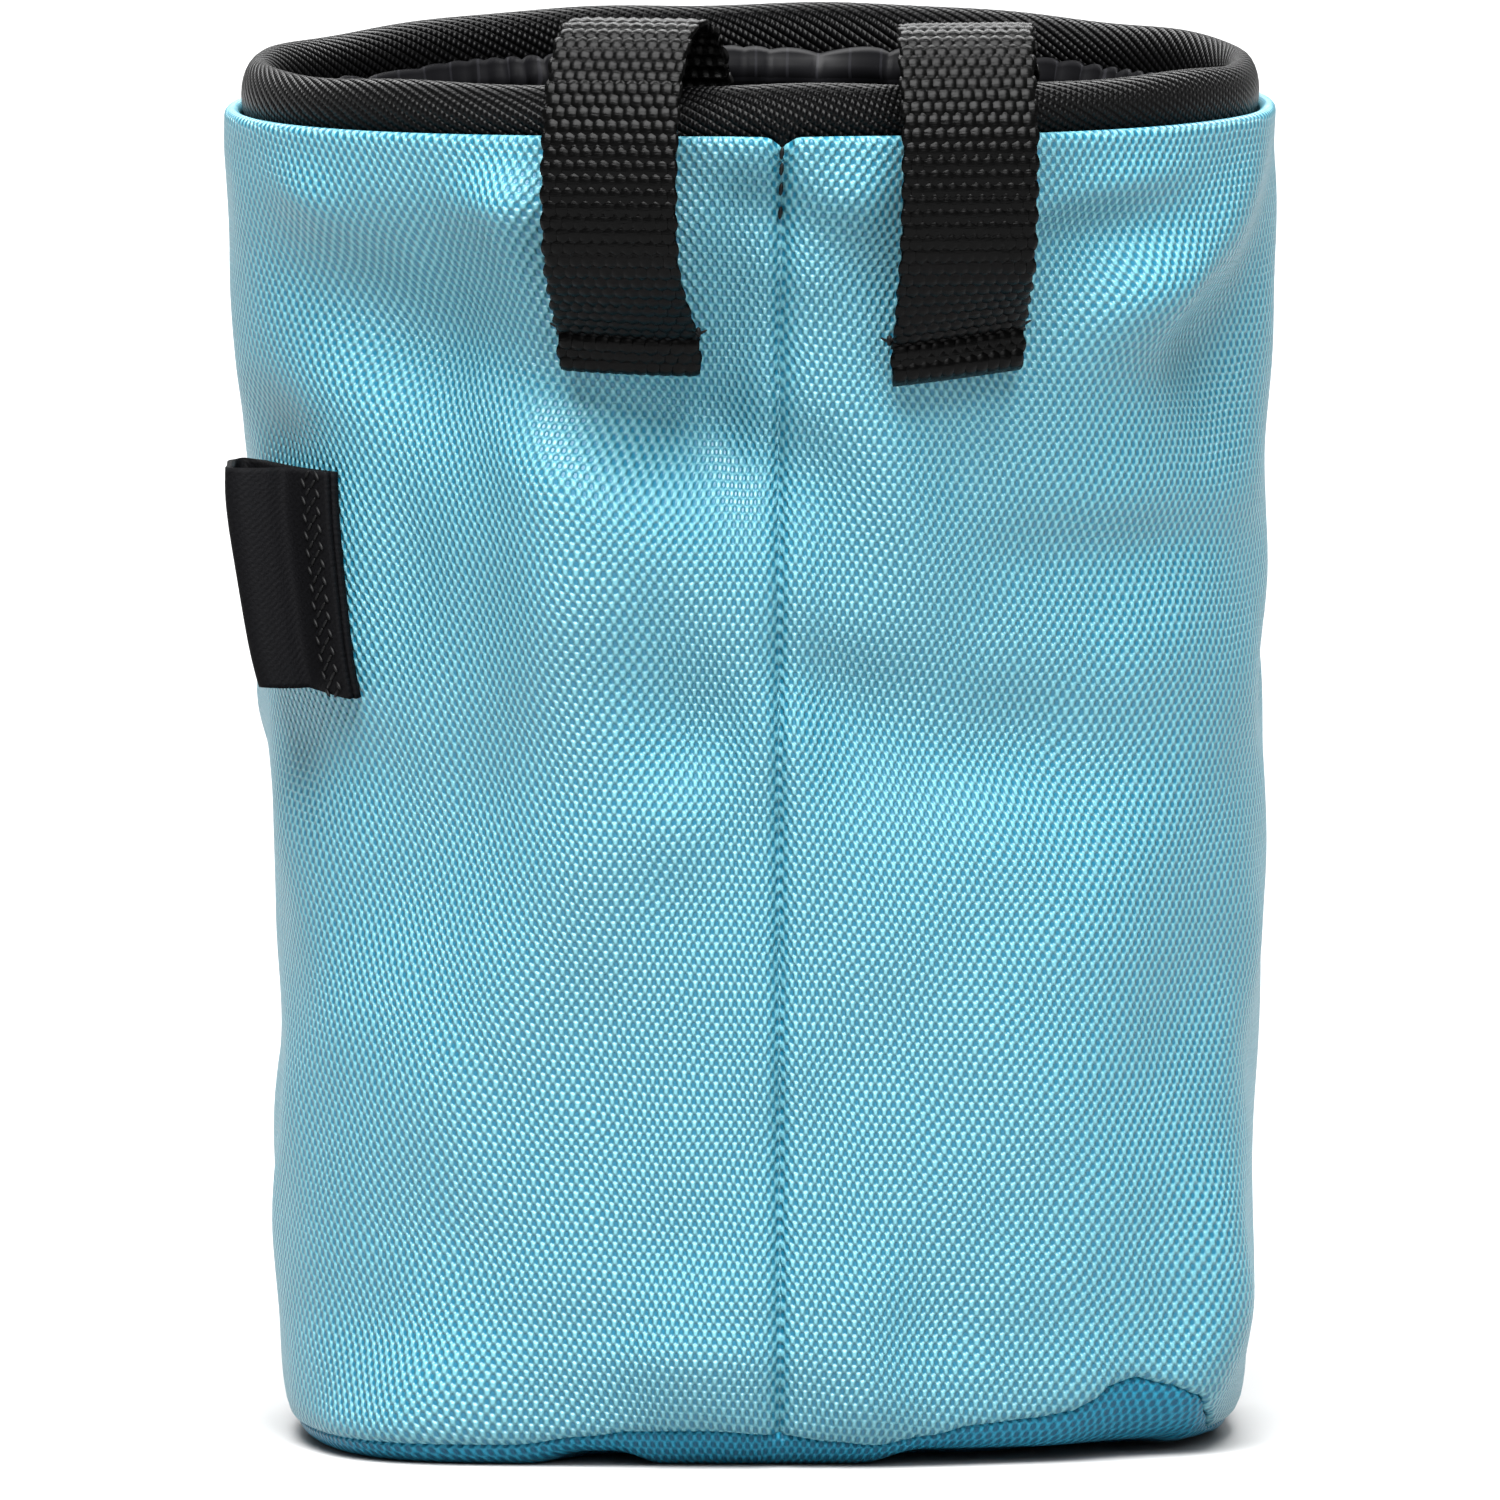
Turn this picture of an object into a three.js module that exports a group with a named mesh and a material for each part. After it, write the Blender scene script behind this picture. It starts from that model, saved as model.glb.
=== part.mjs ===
// A climbing chalk bag standing on its own base: a soft, slightly flared bucket of heavy woven
// polyester with a bound, round mouth. The side that lies against the climber's back carries two
// webbing loops for a belt, and an elastic loop for a brush sits beside them.
//
// Pieces: body_panel (one wrapped panel closed by a seam), base_panel (a shallow dish),
// rim_binding (a padded tape ring), lining (a gathered inner sack), belt_loop_left,
// belt_loop_right (webbing) and brush_loop (elastic).
//
// Millimetres, +Z up. The origin is on the floor under the middle of the base. -Y is the side
// with the belt loops, and +X is to the right of someone who faces that side.
// Angles around the bag start at -Y and grow towards +X.

import * as THREE from 'three';

// Overall sizes
const bagHeight = 171;
const mouthWidth = 130;
const mouthDepth = 118;
const baseWidth = 121;
const baseDepth = 96;

// Cloth
const panelWall = 1.6;
const baseWall = 1.4;
const liningWall = 1.0;
const pieceGap = 0.35;

// Rim binding
const bindingHeight = 8.8;
const bindingThickness = 4.6;
const bindingShows = 6.0;
const bindingClearance = 0.5;

// Rise of the rim at the back and its sag at both ends, which die out down the wall
const rimBackRise = 1.6;
const rimLeftSag = 1.8;
const rimRightSag = 1.2;
const rimReach = 45;

// Base panel
const baseTurn = 10.4;
const baseTuck = 1.2;
const baseUndercut = 3.0;

// Seam that closes the body panel
const seamAngle = 2.6;
const seamDepth = 0.9;
const seamHalfWidth = 1.5;

// Folds
const foldDepth = 3.0;

// Lining
const liningSlack = 1.7;
const gatherDepth = 0.9;
const liningFloorGap = 1.2;
const liningCorner = 7;

// Belt loops
const webbingWidth = 16.2;
const webbingThickness = 1.6;
const tabDrop = 28.3;
const tabHeight = 7;
const tabGap = 0.55;
const archRise = 6.2;
const loopStandOff = 9.2;
const innerDrop = 12;
const innerClearance = 0.6;
const loopSway = 4;
const leftLoop = { around: -17.3, turn: -9, tilt: -3, lower: 0 };
const rightLoop = { around: 25.4, turn: 8, tilt: 6, lower: 0.9 };

// Brush loop
const elasticHeight = 27.8;
const elasticThickness = 1.0;
const brushLoopTop = 121.5;
const brushLoopAngle = -58.5;
const brushTabLength = 6.4;
const brushLoopLength = 20;
const brushLoopBulge = 8.2;
const brushLoopClosing = 0.88;
const brushLoopLean = 3.1;
const brushFootRise = 2.5;
const brushFootLength = 0.8;

// Fineness of the faceted solids
const stationsAround = 71;
const plainStations = 58;
const panelLevels = 17;
const liningLevels = 13;
const bindingSides = 10;
const strapSteps = 2;

const panelTop = bagHeight - bindingShows;
const meanRadius = (mouthWidth + mouthDepth + baseWidth + baseDepth) / 8;

// Outline of the body panel, from the floor to its top edge. "up" is a share of the panel's top
// height. left, right, front and back are shares of a straight taper from base to mouth, and
// front is the side with the belt loops. square is the superellipse exponent: 2 is an ellipse.
const sections = [
  { up: 0.000, left: 0.940, right: 0.940, front: 0.950, back: 0.950, square: 3.0 },
  { up: 0.030, left: 0.968, right: 0.976, front: 0.985, back: 0.980, square: 3.0 },
  { up: 0.075, left: 0.980, right: 0.990, front: 1.010, back: 1.000, square: 3.0 },
  { up: 0.170, left: 0.989, right: 0.989, front: 1.005, back: 1.000, square: 2.95 },
  { up: 0.380, left: 0.965, right: 1.000, front: 0.955, back: 0.975, square: 2.75 },
  { up: 0.510, left: 0.971, right: 0.991, front: 0.925, back: 0.955, square: 2.5 },
  { up: 0.700, left: 0.986, right: 0.993, front: 0.910, back: 0.945, square: 2.3 },
  { up: 0.810, left: 1.018, right: 0.987, front: 0.930, back: 0.955, square: 2.2 },
  { up: 0.900, left: 1.026, right: 0.984, front: 0.965, back: 0.975, square: 2.1 },
  { up: 1.000, left: 1.022, right: 0.982, front: 1.000, back: 1.000, square: 2.05 },
];

// Folds and dents of the cloth. around is in degrees, up is a share of the panel's top height,
// along and across are the fold's half length and half width as shares of that height, tilt
// turns its length up towards +X in degrees, and depth is a share of foldDepth, outwards.
const folds = [
  { around: -44, up: 0.800, along: 0.13, across: 0.070, tilt: -12, depth: -1.00 },
  { around: -28, up: 0.890, along: 0.07, across: 0.060, tilt: 30, depth: -0.45 },
  { around: 44, up: 0.880, along: 0.12, across: 0.055, tilt: 25, depth: -0.80 },
  { around: 62, up: 0.860, along: 0.13, across: 0.035, tilt: 55, depth: 0.45 },
  { around: 71, up: 0.830, along: 0.11, across: 0.045, tilt: 55, depth: -0.70 },
  { around: -9, up: 0.750, along: 0.15, across: 0.050, tilt: -20, depth: -0.55 },
  { around: -12, up: 0.550, along: 0.14, across: 0.055, tilt: -30, depth: -0.70 },
  { around: 26, up: 0.535, along: 0.18, across: 0.055, tilt: -8, depth: -0.85 },
  { around: 50, up: 0.655, along: 0.11, across: 0.045, tilt: 4, depth: -0.60 },
  { around: -46, up: 0.400, along: 0.12, across: 0.060, tilt: 22, depth: -0.55 },
  { around: -70, up: 0.760, along: 0.06, across: 0.035, tilt: 0, depth: -0.70 },
  { around: -66, up: 0.520, along: 0.05, across: 0.050, tilt: 60, depth: -0.60 },
  { around: -58, up: 0.250, along: 0.16, across: 0.060, tilt: 60, depth: -0.35 },
  { around: -47, up: 0.010, along: 0.09, across: 0.090, tilt: 0, depth: 1.50 },
  { around: 54, up: 0.095, along: 0.07, across: 0.035, tilt: 50, depth: -0.60 },
  { around: 112, up: 0.700, along: 0.14, across: 0.060, tilt: -25, depth: -0.75 },
  { around: 138, up: 0.480, along: 0.16, across: 0.060, tilt: 15, depth: -0.70 },
  { around: 170, up: 0.760, along: 0.17, across: 0.065, tilt: 10, depth: -0.90 },
  { around: 188, up: 0.420, along: 0.14, across: 0.055, tilt: -28, depth: -0.60 },
  { around: 222, up: 0.620, along: 0.15, across: 0.060, tilt: 24, depth: -0.80 },
  { around: 252, up: 0.330, along: 0.12, across: 0.055, tilt: -15, depth: -0.55 },
];

// Height of the seam between base and body panel, as a share of baseTurn, by angle.
const baseSeam = [
  { around: -75, lift: 0.25 },
  { around: -45, lift: 0.25 },
  { around: -33, lift: 0.26 },
  { around: -24, lift: 0.37 },
  { around: -18, lift: 0.44 },
  { around: -8, lift: 0.45 },
  { around: 3, lift: 0.40 },
  { around: 10, lift: 0.32 },
  { around: 16, lift: 0.27 },
  { around: 23, lift: 0.38 },
  { around: 29, lift: 0.50 },
  { around: 36, lift: 0.56 },
  { around: 41, lift: 0.63 },
  { around: 43.5, lift: 0.76 },
  { around: 45.5, lift: 0.93 },
  { around: 48.5, lift: 1.00 },
  { around: 52, lift: 0.90 },
  { around: 56, lift: 0.75 },
  { around: 60, lift: 0.49 },
  { around: 65, lift: 0.25 },
  { around: 110, lift: 0.33 },
  { around: 140, lift: 0.27 },
  { around: 180, lift: 0.36 },
  { around: 215, lift: 0.27 },
  { around: 250, lift: 0.33 },
  { around: 285, lift: 0.25 },
];

// Middle line of a belt loop, from its sewn tab over the rim to its inner end. up runs from 0 at
// the tab's lower edge to 1 at the top of the arch, out from 0 on the wall to 1 at the full
// stand-off outside and -1 at the inner leg, and sway is a share of loopSway to the right.
const strapLine = [
  { up: 0.00, out: 0.00, sway: 0.00 },
  { up: 0.09, out: 0.02, sway: 0.00 },
  { up: 0.20, out: 0.50, sway: -0.02 },
  { up: 0.36, out: 0.92, sway: -0.03 },
  { up: 0.55, out: 1.00, sway: -0.02 },
  { up: 0.74, out: 0.78, sway: 0.00 },
  { up: 0.89, out: 0.36, sway: 0.04 },
  { up: 0.975, out: -0.08, sway: 0.16 },
  { up: 1.00, out: -0.46, sway: 0.34 },
  { up: 0.960, out: -0.84, sway: 0.62 },
  { up: 0.860, out: -1.02, sway: 0.86 },
];

// Middle line of the brush loop, from its sewn tab along the panel, round the far end and back
// over the bulge. along is a share of brushLoopLength, out a share of brushLoopBulge, and ply
// is 1 where the outer ply lies on the inner one.
const brushLine = [
  { along: 0.00, out: 0.00, ply: 0 },
  { along: 0.36, out: 0.00, ply: 0 },
  { along: 0.50, out: 0.00, ply: 0 },
  { along: 0.64, out: 0.00, ply: 0 },
  { along: 0.79, out: 0.00, ply: 0 },
  { along: 0.92, out: 0.02, ply: 0 },
  { along: 0.99, out: 0.13, ply: 0 },
  { along: 0.98, out: 0.30, ply: 0 },
  { along: 0.87, out: 0.48, ply: 0 },
  { along: 0.72, out: 0.66, ply: 0 },
  { along: 0.58, out: 0.84, ply: 0 },
  { along: 0.48, out: 0.98, ply: 0 },
  { along: 0.42, out: 0.86, ply: 0.3 },
  { along: 0.385, out: 0.48, ply: 0.7 },
  { along: 0.36, out: 0.08, ply: 1 },
  { along: 0.00, out: 0.00, ply: 1 },
];

function mix(a, b, share) {
  return a + (b - a) * share;
}

// Smooth curve through four evenly read values, at a share between the middle two.
function cubic(before, from, to, after, share) {
  const slopeFrom = (to - before) / 2;
  const slopeTo = (after - from) / 2;
  const s2 = share * share;
  const s3 = s2 * share;
  return (2 * s3 - 3 * s2 + 1) * from + (s3 - 2 * s2 + share) * slopeFrom
    + (3 * s2 - 2 * s3) * to + (s3 - s2) * slopeTo;
}

function readSections(up, column) {
  const last = sections.length - 1;
  let row = 0;
  while (row < last - 1 && up > sections[row + 1].up) row += 1;
  const from = sections[row];
  const to = sections[row + 1];
  const share = THREE.MathUtils.clamp((up - from.up) / (to.up - from.up), 0, 1);
  const before = sections[Math.max(row - 1, 0)];
  const after = sections[Math.min(row + 2, last)];
  return cubic(before[column], from[column], to[column], after[column], share);
}

function readBaseSeam(angle) {
  const count = baseSeam.length;
  const first = baseSeam[0].around;
  const turned = first + THREE.MathUtils.euclideanModulo(angle - first, 360);
  let row = 0;
  while (row < count - 1 && turned >= baseSeam[row + 1].around) row += 1;
  const from = baseSeam[row];
  const to = baseSeam[(row + 1) % count];
  const span = THREE.MathUtils.euclideanModulo(to.around - from.around, 360);
  const share = (turned - from.around) / span;
  return mix(from.lift, to.lift, THREE.MathUtils.smoothstep(share, 0, 1)) * baseTurn;
}

// Degrees from one angle to another, the short way round.
function turnBetween(from, to) {
  return THREE.MathUtils.euclideanModulo(to - from + 180, 360) - 180;
}

function foldOffset(angle, up) {
  let offset = 0;
  for (const fold of folds) {
    const sideways = THREE.MathUtils.degToRad(turnBetween(fold.around, angle)) * meanRadius;
    const upwards = (up - fold.up) * panelTop;
    const tilt = THREE.MathUtils.degToRad(fold.tilt);
    const along = sideways * Math.cos(tilt) + upwards * Math.sin(tilt);
    const across = upwards * Math.cos(tilt) - sideways * Math.sin(tilt);
    const reach = (along / (fold.along * panelTop)) ** 2 + (across / (fold.across * panelTop)) ** 2;
    offset += fold.depth * foldDepth * Math.exp(-reach);
  }
  return offset;
}

function seamOffset(angle) {
  const sideways = THREE.MathUtils.degToRad(turnBetween(seamAngle, angle)) * meanRadius;
  return -seamDepth * Math.exp(-((sideways / seamHalfWidth) ** 2));
}

// Distance from the axis to the panel's outer face without folds.
function outlineRadius(angle, up) {
  const radians = THREE.MathUtils.degToRad(angle);
  const sideways = Math.sin(radians);
  const frontwards = Math.cos(radians);
  const halfWidth = mix(baseWidth, mouthWidth, up) / 2
    * readSections(up, sideways < 0 ? 'left' : 'right');
  const halfDepth = mix(baseDepth, mouthDepth, up) / 2
    * readSections(up, frontwards > 0 ? 'front' : 'back');
  const square = readSections(up, 'square');
  const sum = Math.abs(sideways / halfWidth) ** square + Math.abs(frontwards / halfDepth) ** square;
  return sum ** (-1 / square);
}

function panelRadius(angle, up) {
  return outlineRadius(angle, up) + foldOffset(angle, up);
}

function pointAt(angle, radius, height) {
  const radians = THREE.MathUtils.degToRad(angle);
  return new THREE.Vector3(radius * Math.sin(radians), -radius * Math.cos(radians), height);
}

// A point near the bag's wall, lifted with the rim.
function onBag(angle, radius, height) {
  const radians = THREE.MathUtils.degToRad(angle);
  const sag = Math.sin(radians) < 0 ? rimLeftSag : rimRightSag;
  const lift = rimBackRise * (1 - Math.cos(radians)) / 2 - sag * Math.sin(radians) ** 2;
  const share = THREE.MathUtils.smoothstep(height, panelTop - rimReach, panelTop);
  return pointAt(angle, radius, height + lift * share);
}

function evenAngles() {
  return Array.from({ length: plainStations }, (_, i) => i * 360 / plainStations);
}

// Even stations around the bag, with one on each flank of the seam.
function anglesAround() {
  const step = 360 / stationsAround;
  const flank = THREE.MathUtils.radToDeg(seamHalfWidth / meanRadius);
  const angles = [seamAngle - flank];
  for (let i = 0; i < stationsAround; i += 1) angles.push(seamAngle + i * step);
  angles.splice(2, 0, seamAngle + flank);
  return angles;
}

// One closed body through a row of matching outlines. A loop joins the last outline to the
// first; otherwise both ends are closed by flat fans.
function loft(outlines, loop) {
  const sides = outlines[0].length;
  const points = outlines.flat();
  const faces = [];
  const spans = loop ? outlines.length : outlines.length - 1;
  for (let i = 0; i < spans; i += 1) {
    const here = i * sides;
    const next = ((i + 1) % outlines.length) * sides;
    for (let j = 0; j < sides; j += 1) {
      const k = (j + 1) % sides;
      faces.push([here + j, here + k, next + k], [here + j, next + k, next + j]);
    }
  }
  if (!loop) {
    const end = (outlines.length - 1) * sides;
    for (let j = 1; j < sides - 1; j += 1) {
      faces.push([0, j + 1, j], [end, end + j, end + j + 1]);
    }
  }
  return facingOut(points, faces);
}

// Geometry with its faces turned outwards, whichever way the outlines ran.
function facingOut(points, faces) {
  let volume = 0;
  for (const [a, b, c] of faces) {
    volume += points[a].dot(new THREE.Vector3().crossVectors(points[b], points[c]));
  }
  const order = volume < 0 ? [0, 2, 1] : [0, 1, 2];
  const corners = faces.flatMap((face) => order.map((i) => points[face[i]]));
  const geometry = new THREE.BufferGeometry().setFromPoints(corners);
  geometry.computeVertexNormals();
  return geometry;
}

// Body panel: outer face upwards, over the turned top edge, inner face downwards. Every ring
// holds a height share per angle, because the lower edge follows the base seam.
function bodyPanel() {
  const angles = anglesAround();
  const levels = [];
  for (let i = 0; i <= panelLevels; i += 1) {
    const share = i / panelLevels;
    levels.push(mix(share, share * share * (3 - 2 * share), 0.5));
  }
  const halfWall = panelWall / 2;
  const ring = (level, inset) => angles.map((angle) => {
    const bottom = readBaseSeam(angle) + halfWall;
    const height = mix(bottom, panelTop - halfWall, level);
    const groove = inset === 0 ? seamOffset(angle) : 0;
    return onBag(angle, panelRadius(angle, height / panelTop) + groove - inset, height);
  });
  const edge = (atTop) => angles.map((angle) => {
    const height = atTop ? panelTop : readBaseSeam(angle);
    const groove = seamOffset(angle) / 2;
    return onBag(angle, panelRadius(angle, height / panelTop) + groove - halfWall, height);
  });
  const rings = levels.map((level) => ring(level, 0));
  rings.push(edge(true));
  for (const level of levels.toReversed()) rings.push(ring(level, panelWall));
  rings.push(edge(false));
  return loft(rings, true);
}

// Base panel: a flat floor with its edge turned up to the seam.
function basePanel() {
  const angles = anglesAround();
  const ring = (inset, height) => angles.map((angle) => {
    const lift = readBaseSeam(angle) - pieceGap;
    const seamRadius = panelRadius(angle, lift / panelTop);
    return pointAt(angle, seamRadius - inset(lift), height(lift));
  });
  const lean = (lift) => baseUndercut * (0.5 + lift / baseTurn);
  return loft([
    ring((lift) => lean(lift) + baseTuck, () => 0),
    ring((lift) => lean(lift) * 0.4 + baseTuck, (lift) => lift * 0.4),
    ring(() => baseTuck, (lift) => lift - baseWall * 0.3),
    ring(() => baseTuck + baseWall * 0.5, (lift) => lift),
    ring(() => baseTuck + baseWall, (lift) => lift - baseWall * 0.3),
    ring((lift) => lean(lift) + baseTuck + baseWall, () => baseWall),
  ], false);
}

// Rim binding: a padded tape ring of oval section, set just inside the panel's turned edge.
function rimBinding() {
  const inset = panelWall + bindingClearance + bindingThickness / 2;
  const middle = bagHeight - bindingHeight / 2;
  const rings = [];
  for (let i = 0; i < bindingSides; i += 1) {
    const turn = (i / bindingSides) * Math.PI * 2;
    const out = Math.cos(turn) * bindingThickness / 2;
    const up = Math.sin(turn) * bindingHeight / 2;
    rings.push(evenAngles().map((angle) => (
      onBag(angle, panelRadius(angle, 1) - inset + out, middle + up)
    )));
  }
  return loft(rings, true);
}

// Lining: gathered where it hangs from the binding, slack against the wall below it.
function gather(angle, up) {
  const radians = THREE.MathUtils.degToRad(angle);
  const ripple = 0.6 * Math.cos(13 * radians + 1) + 0.4 * Math.cos(17 * radians + 2.3);
  return gatherDepth * (0.5 - 0.5 * ripple) * mix(0.35, 1, up * up);
}

const liningTop = bagHeight - bindingHeight - pieceGap;
const liningFloor = baseWall + liningFloorGap;

function liningRadius(angle, height) {
  const up = height / panelTop;
  const underBinding = panelWall + bindingClearance + bindingThickness / 2 - liningWall / 2;
  const hanging = panelWall + liningSlack + gather(angle, up);
  const neck = THREE.MathUtils.smoothstep(height, liningTop - bindingThickness, liningTop);
  const corner = 1 - THREE.MathUtils.smoothstep(height, liningFloor, liningFloor + liningCorner * 2);
  return panelRadius(angle, up) - mix(hanging, underBinding, neck) - liningCorner * corner ** 2;
}

function liningSack() {
  const angles = evenAngles();
  const ring = (height, inset) => angles.map((angle) => (
    onBag(angle, liningRadius(angle, height) - inset, height)
  ));
  const heights = [];
  for (let i = 0; i <= liningLevels; i += 1) {
    const share = i / liningLevels;
    heights.push(mix(liningFloor + liningWall, liningTop, Math.sin(share * Math.PI / 2)));
  }
  const outer = heights.map((height) => ring(height, 0));
  const inner = heights.toReversed().map((height) => ring(height, liningWall));
  const flatFloor = (height) => angles.map((angle) => (
    pointAt(angle, liningRadius(angle, liningFloor) - liningCorner, height)
  ));
  return loft([
    flatFloor(liningFloor), ...outer, ...inner.slice(0, -1),
    flatFloor(liningFloor + liningWall),
  ], false);
}

// Belt loop: webbing swept along strapLine in an upright plane. around is the angle of its sewn
// tab, turn the angle that it faces, tilt how far the tab's lower edge leans, and lower how much
// lower the loop sits than its fellow. The tab follows the curve of the panel, and the rest of it
// is flat across.
function beltLoop({ around, turn, tilt, lower }) {
  const outward = pointAt(turn, 1, 0);
  const sideward = new THREE.Vector3(-outward.y, outward.x, 0);
  const tabBottom = panelTop - tabDrop - lower;
  const archTop = bagHeight + archRise - lower;
  const half = webbingThickness / 2;
  const onWall = tabGap + half;
  const insideRim = panelWall + bindingClearance + bindingThickness + innerClearance + half;
  const tabMiddle = pointAt(around, panelRadius(around, tabBottom / panelTop), 0).dot(sideward);
  const lean = Math.tan(THREE.MathUtils.degToRad(tilt));

  // Distance from the axis to the panel, along the direction that the loop faces.
  const wallDistance = (height, lateral) => {
    const up = Math.min(height, panelTop) / panelTop;
    let distance = baseDepth / 2;
    for (let i = 0; i < 6; i += 1) {
      const angle = turn + THREE.MathUtils.radToDeg(Math.atan2(lateral, distance));
      distance = Math.sqrt(panelRadius(angle, up) ** 2 - lateral ** 2);
    }
    return distance;
  };
  const knots = [];
  const addKnot = (height, out, sway) => {
    const lateral = tabMiddle + sway * loopSway;
    const side = webbingWidth / 2;
    const atMiddle = wallDistance(height, lateral);
    const atEdges = Math.min(
      wallDistance(height, lateral - side), wallDistance(height, lateral + side));
    const reach = out > 0 ? mix(onWall, loopStandOff, out) : mix(onWall, -insideRim, -out);
    const wall = out > 0 ? atMiddle : mix(atMiddle, atEdges, Math.min(-out, 1));
    knots.push(new THREE.Vector3(lateral, wall + reach, height));
  };
  for (const row of strapLine) addKnot(mix(tabBottom, archTop, row.up), row.out, row.sway);
  const innerStart = knots[knots.length - 1].z;
  const innerEnd = bagHeight - bindingHeight - innerDrop;
  addKnot(mix(innerStart, innerEnd, 0.45), -1, 1);
  addKnot(innerEnd, -1, 1);

  const line = new THREE.CatmullRomCurve3(knots, false, 'centripetal');
  const steps = (knots.length - 1) * strapSteps;
  const outlines = [];
  for (let i = 0; i <= steps; i += 1) {
    const middle = line.getPointAt(i / steps);
    const along = line.getTangentAt(i / steps);
    const through = new THREE.Vector2(-along.z, along.y).normalize().multiplyScalar(half);
    const outside = middle.y > wallDistance(middle.z, middle.x);
    const free = THREE.MathUtils.smoothstep(middle.z, tabBottom + tabHeight, tabBottom + 2 * tabHeight);
    const hug = outside ? 1 - free : 0;
    const corner = (across, side) => {
      const sidestep = across * webbingWidth / 2;
      const height = middle.z + side * through.y + hug * sidestep * lean;
      const lateral = middle.x + sidestep;
      const curve = wallDistance(height, lateral) - wallDistance(middle.z, middle.x);
      const out = middle.y + side * through.x + hug * curve;
      return outward.clone().multiplyScalar(out).addScaledVector(sideward, lateral).setZ(height);
    };
    outlines.push([
      corner(-1, 1), corner(0, 1), corner(1, 1), corner(1, -1), corner(0, -1), corner(-1, -1),
    ]);
  }
  return loft(outlines, false);
}

// Brush loop: elastic folded back on itself, with both ends sewn down in one tab. Its middle
// line is laid out flat, along the panel and out from it, and is then bent round the panel.
function brushLoop() {
  const half = elasticThickness / 2;
  const crotch = pieceGap + elasticThickness;
  const levels = 4;
  const corners = (row, before, after, open) => {
    const [middle, from, to] = [row, before, after].map((each) => (
      new THREE.Vector2(each.along * brushLoopLength, tapeOut(each, open))));
    const along = to.sub(from).normalize();
    const inward = new THREE.Vector2(-along.y, along.x).multiplyScalar(half);
    return [middle.clone().sub(inward), middle.clone().add(inward)];
  };
  const bend = (flat, height) => {
    const foot = (brushLoopTop - height) / elasticHeight;
    const along = flat.x * mix(1, brushFootLength, foot) - brushLoopLean * foot;
    const angle = brushLoopAngle - THREE.MathUtils.radToDeg(along / meanRadius);
    return pointAt(angle, panelRadius(angle, height / panelTop) + flat.y, height);
  };
  const last = brushLine.length - 1;
  const outlines = brushLine.map((row, i) => {
    const outer = [];
    const hole = [];
    for (let j = 0; j <= levels; j += 1) {
      const share = j / levels;
      const drop = elasticHeight - brushFootRise * row.along;
      const height = brushLoopTop - drop * (1 - share);
      const open = mix(brushLoopClosing, 1, share);
      let [outside, inside] = corners(
        row, brushLine[Math.max(i - 1, 0)], brushLine[Math.min(i + 1, last)], open);
      if (i === 0 || i === last) {
        const side = i === 0 ? -1 : 1;
        outside = new THREE.Vector2(0, crotch + side * elasticThickness);
        inside = new THREE.Vector2(brushTabLength, crotch + side * elasticThickness / 16);
      }
      outer.push(bend(outside, height));
      hole.unshift(bend(inside, height));
    }
    return [...outer, ...hole];
  });
  return loft(outlines, true);
}

function tapeOut(row, open) {
  return pieceGap + elasticThickness * (0.5 + row.ply) + row.out * brushLoopBulge * open;
}

const blueCloth = { color: 0x6fb5cf, roughness: 0.72, metalness: 0 };
const blackTape = { color: 0x17171a, roughness: 0.62, metalness: 0 };
const blackWebbing = { color: 0x141416, roughness: 0.66, metalness: 0 };
const greyRipstop = { color: 0x37363d, roughness: 0.55, metalness: 0 };
const blackElastic = { color: 0x121214, roughness: 0.85, metalness: 0 };

function piece(name, geometry, finish) {
  const mesh = new THREE.Mesh(geometry, new THREE.MeshStandardMaterial(finish));
  mesh.name = name;
  return mesh;
}

const bag = new THREE.Group();
bag.add(
  piece('body_panel', bodyPanel(), blueCloth),
  piece('base_panel', basePanel(), blueCloth),
  piece('rim_binding', rimBinding(), blackTape),
  piece('lining', liningSack(), greyRipstop),
  piece('belt_loop_left', beltLoop(leftLoop), blackWebbing),
  piece('belt_loop_right', beltLoop(rightLoop), blackWebbing),
  piece('brush_loop', brushLoop(), blackElastic),
);

export default bag;
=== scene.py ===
# A climbing chalk bag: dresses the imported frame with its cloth, tape, webbing and elastic.
# Shapes are worked out in millimetres, in the frame's own axes, and built in metres.

import math
from collections import namedtuple

import bmesh
import bpy
import numpy as np
from mathutils import Matrix, Vector


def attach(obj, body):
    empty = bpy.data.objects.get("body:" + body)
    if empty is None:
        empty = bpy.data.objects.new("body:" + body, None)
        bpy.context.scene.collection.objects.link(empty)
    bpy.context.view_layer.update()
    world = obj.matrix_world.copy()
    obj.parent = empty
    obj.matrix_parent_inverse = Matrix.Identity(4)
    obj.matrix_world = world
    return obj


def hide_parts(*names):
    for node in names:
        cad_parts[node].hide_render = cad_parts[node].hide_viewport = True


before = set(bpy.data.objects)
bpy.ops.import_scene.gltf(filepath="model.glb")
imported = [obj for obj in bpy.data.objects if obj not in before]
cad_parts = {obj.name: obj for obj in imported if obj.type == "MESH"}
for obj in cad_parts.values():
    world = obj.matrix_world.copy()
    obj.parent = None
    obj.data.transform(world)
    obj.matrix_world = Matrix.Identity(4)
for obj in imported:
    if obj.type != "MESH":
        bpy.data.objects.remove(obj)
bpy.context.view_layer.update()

MM = 0.001

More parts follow.
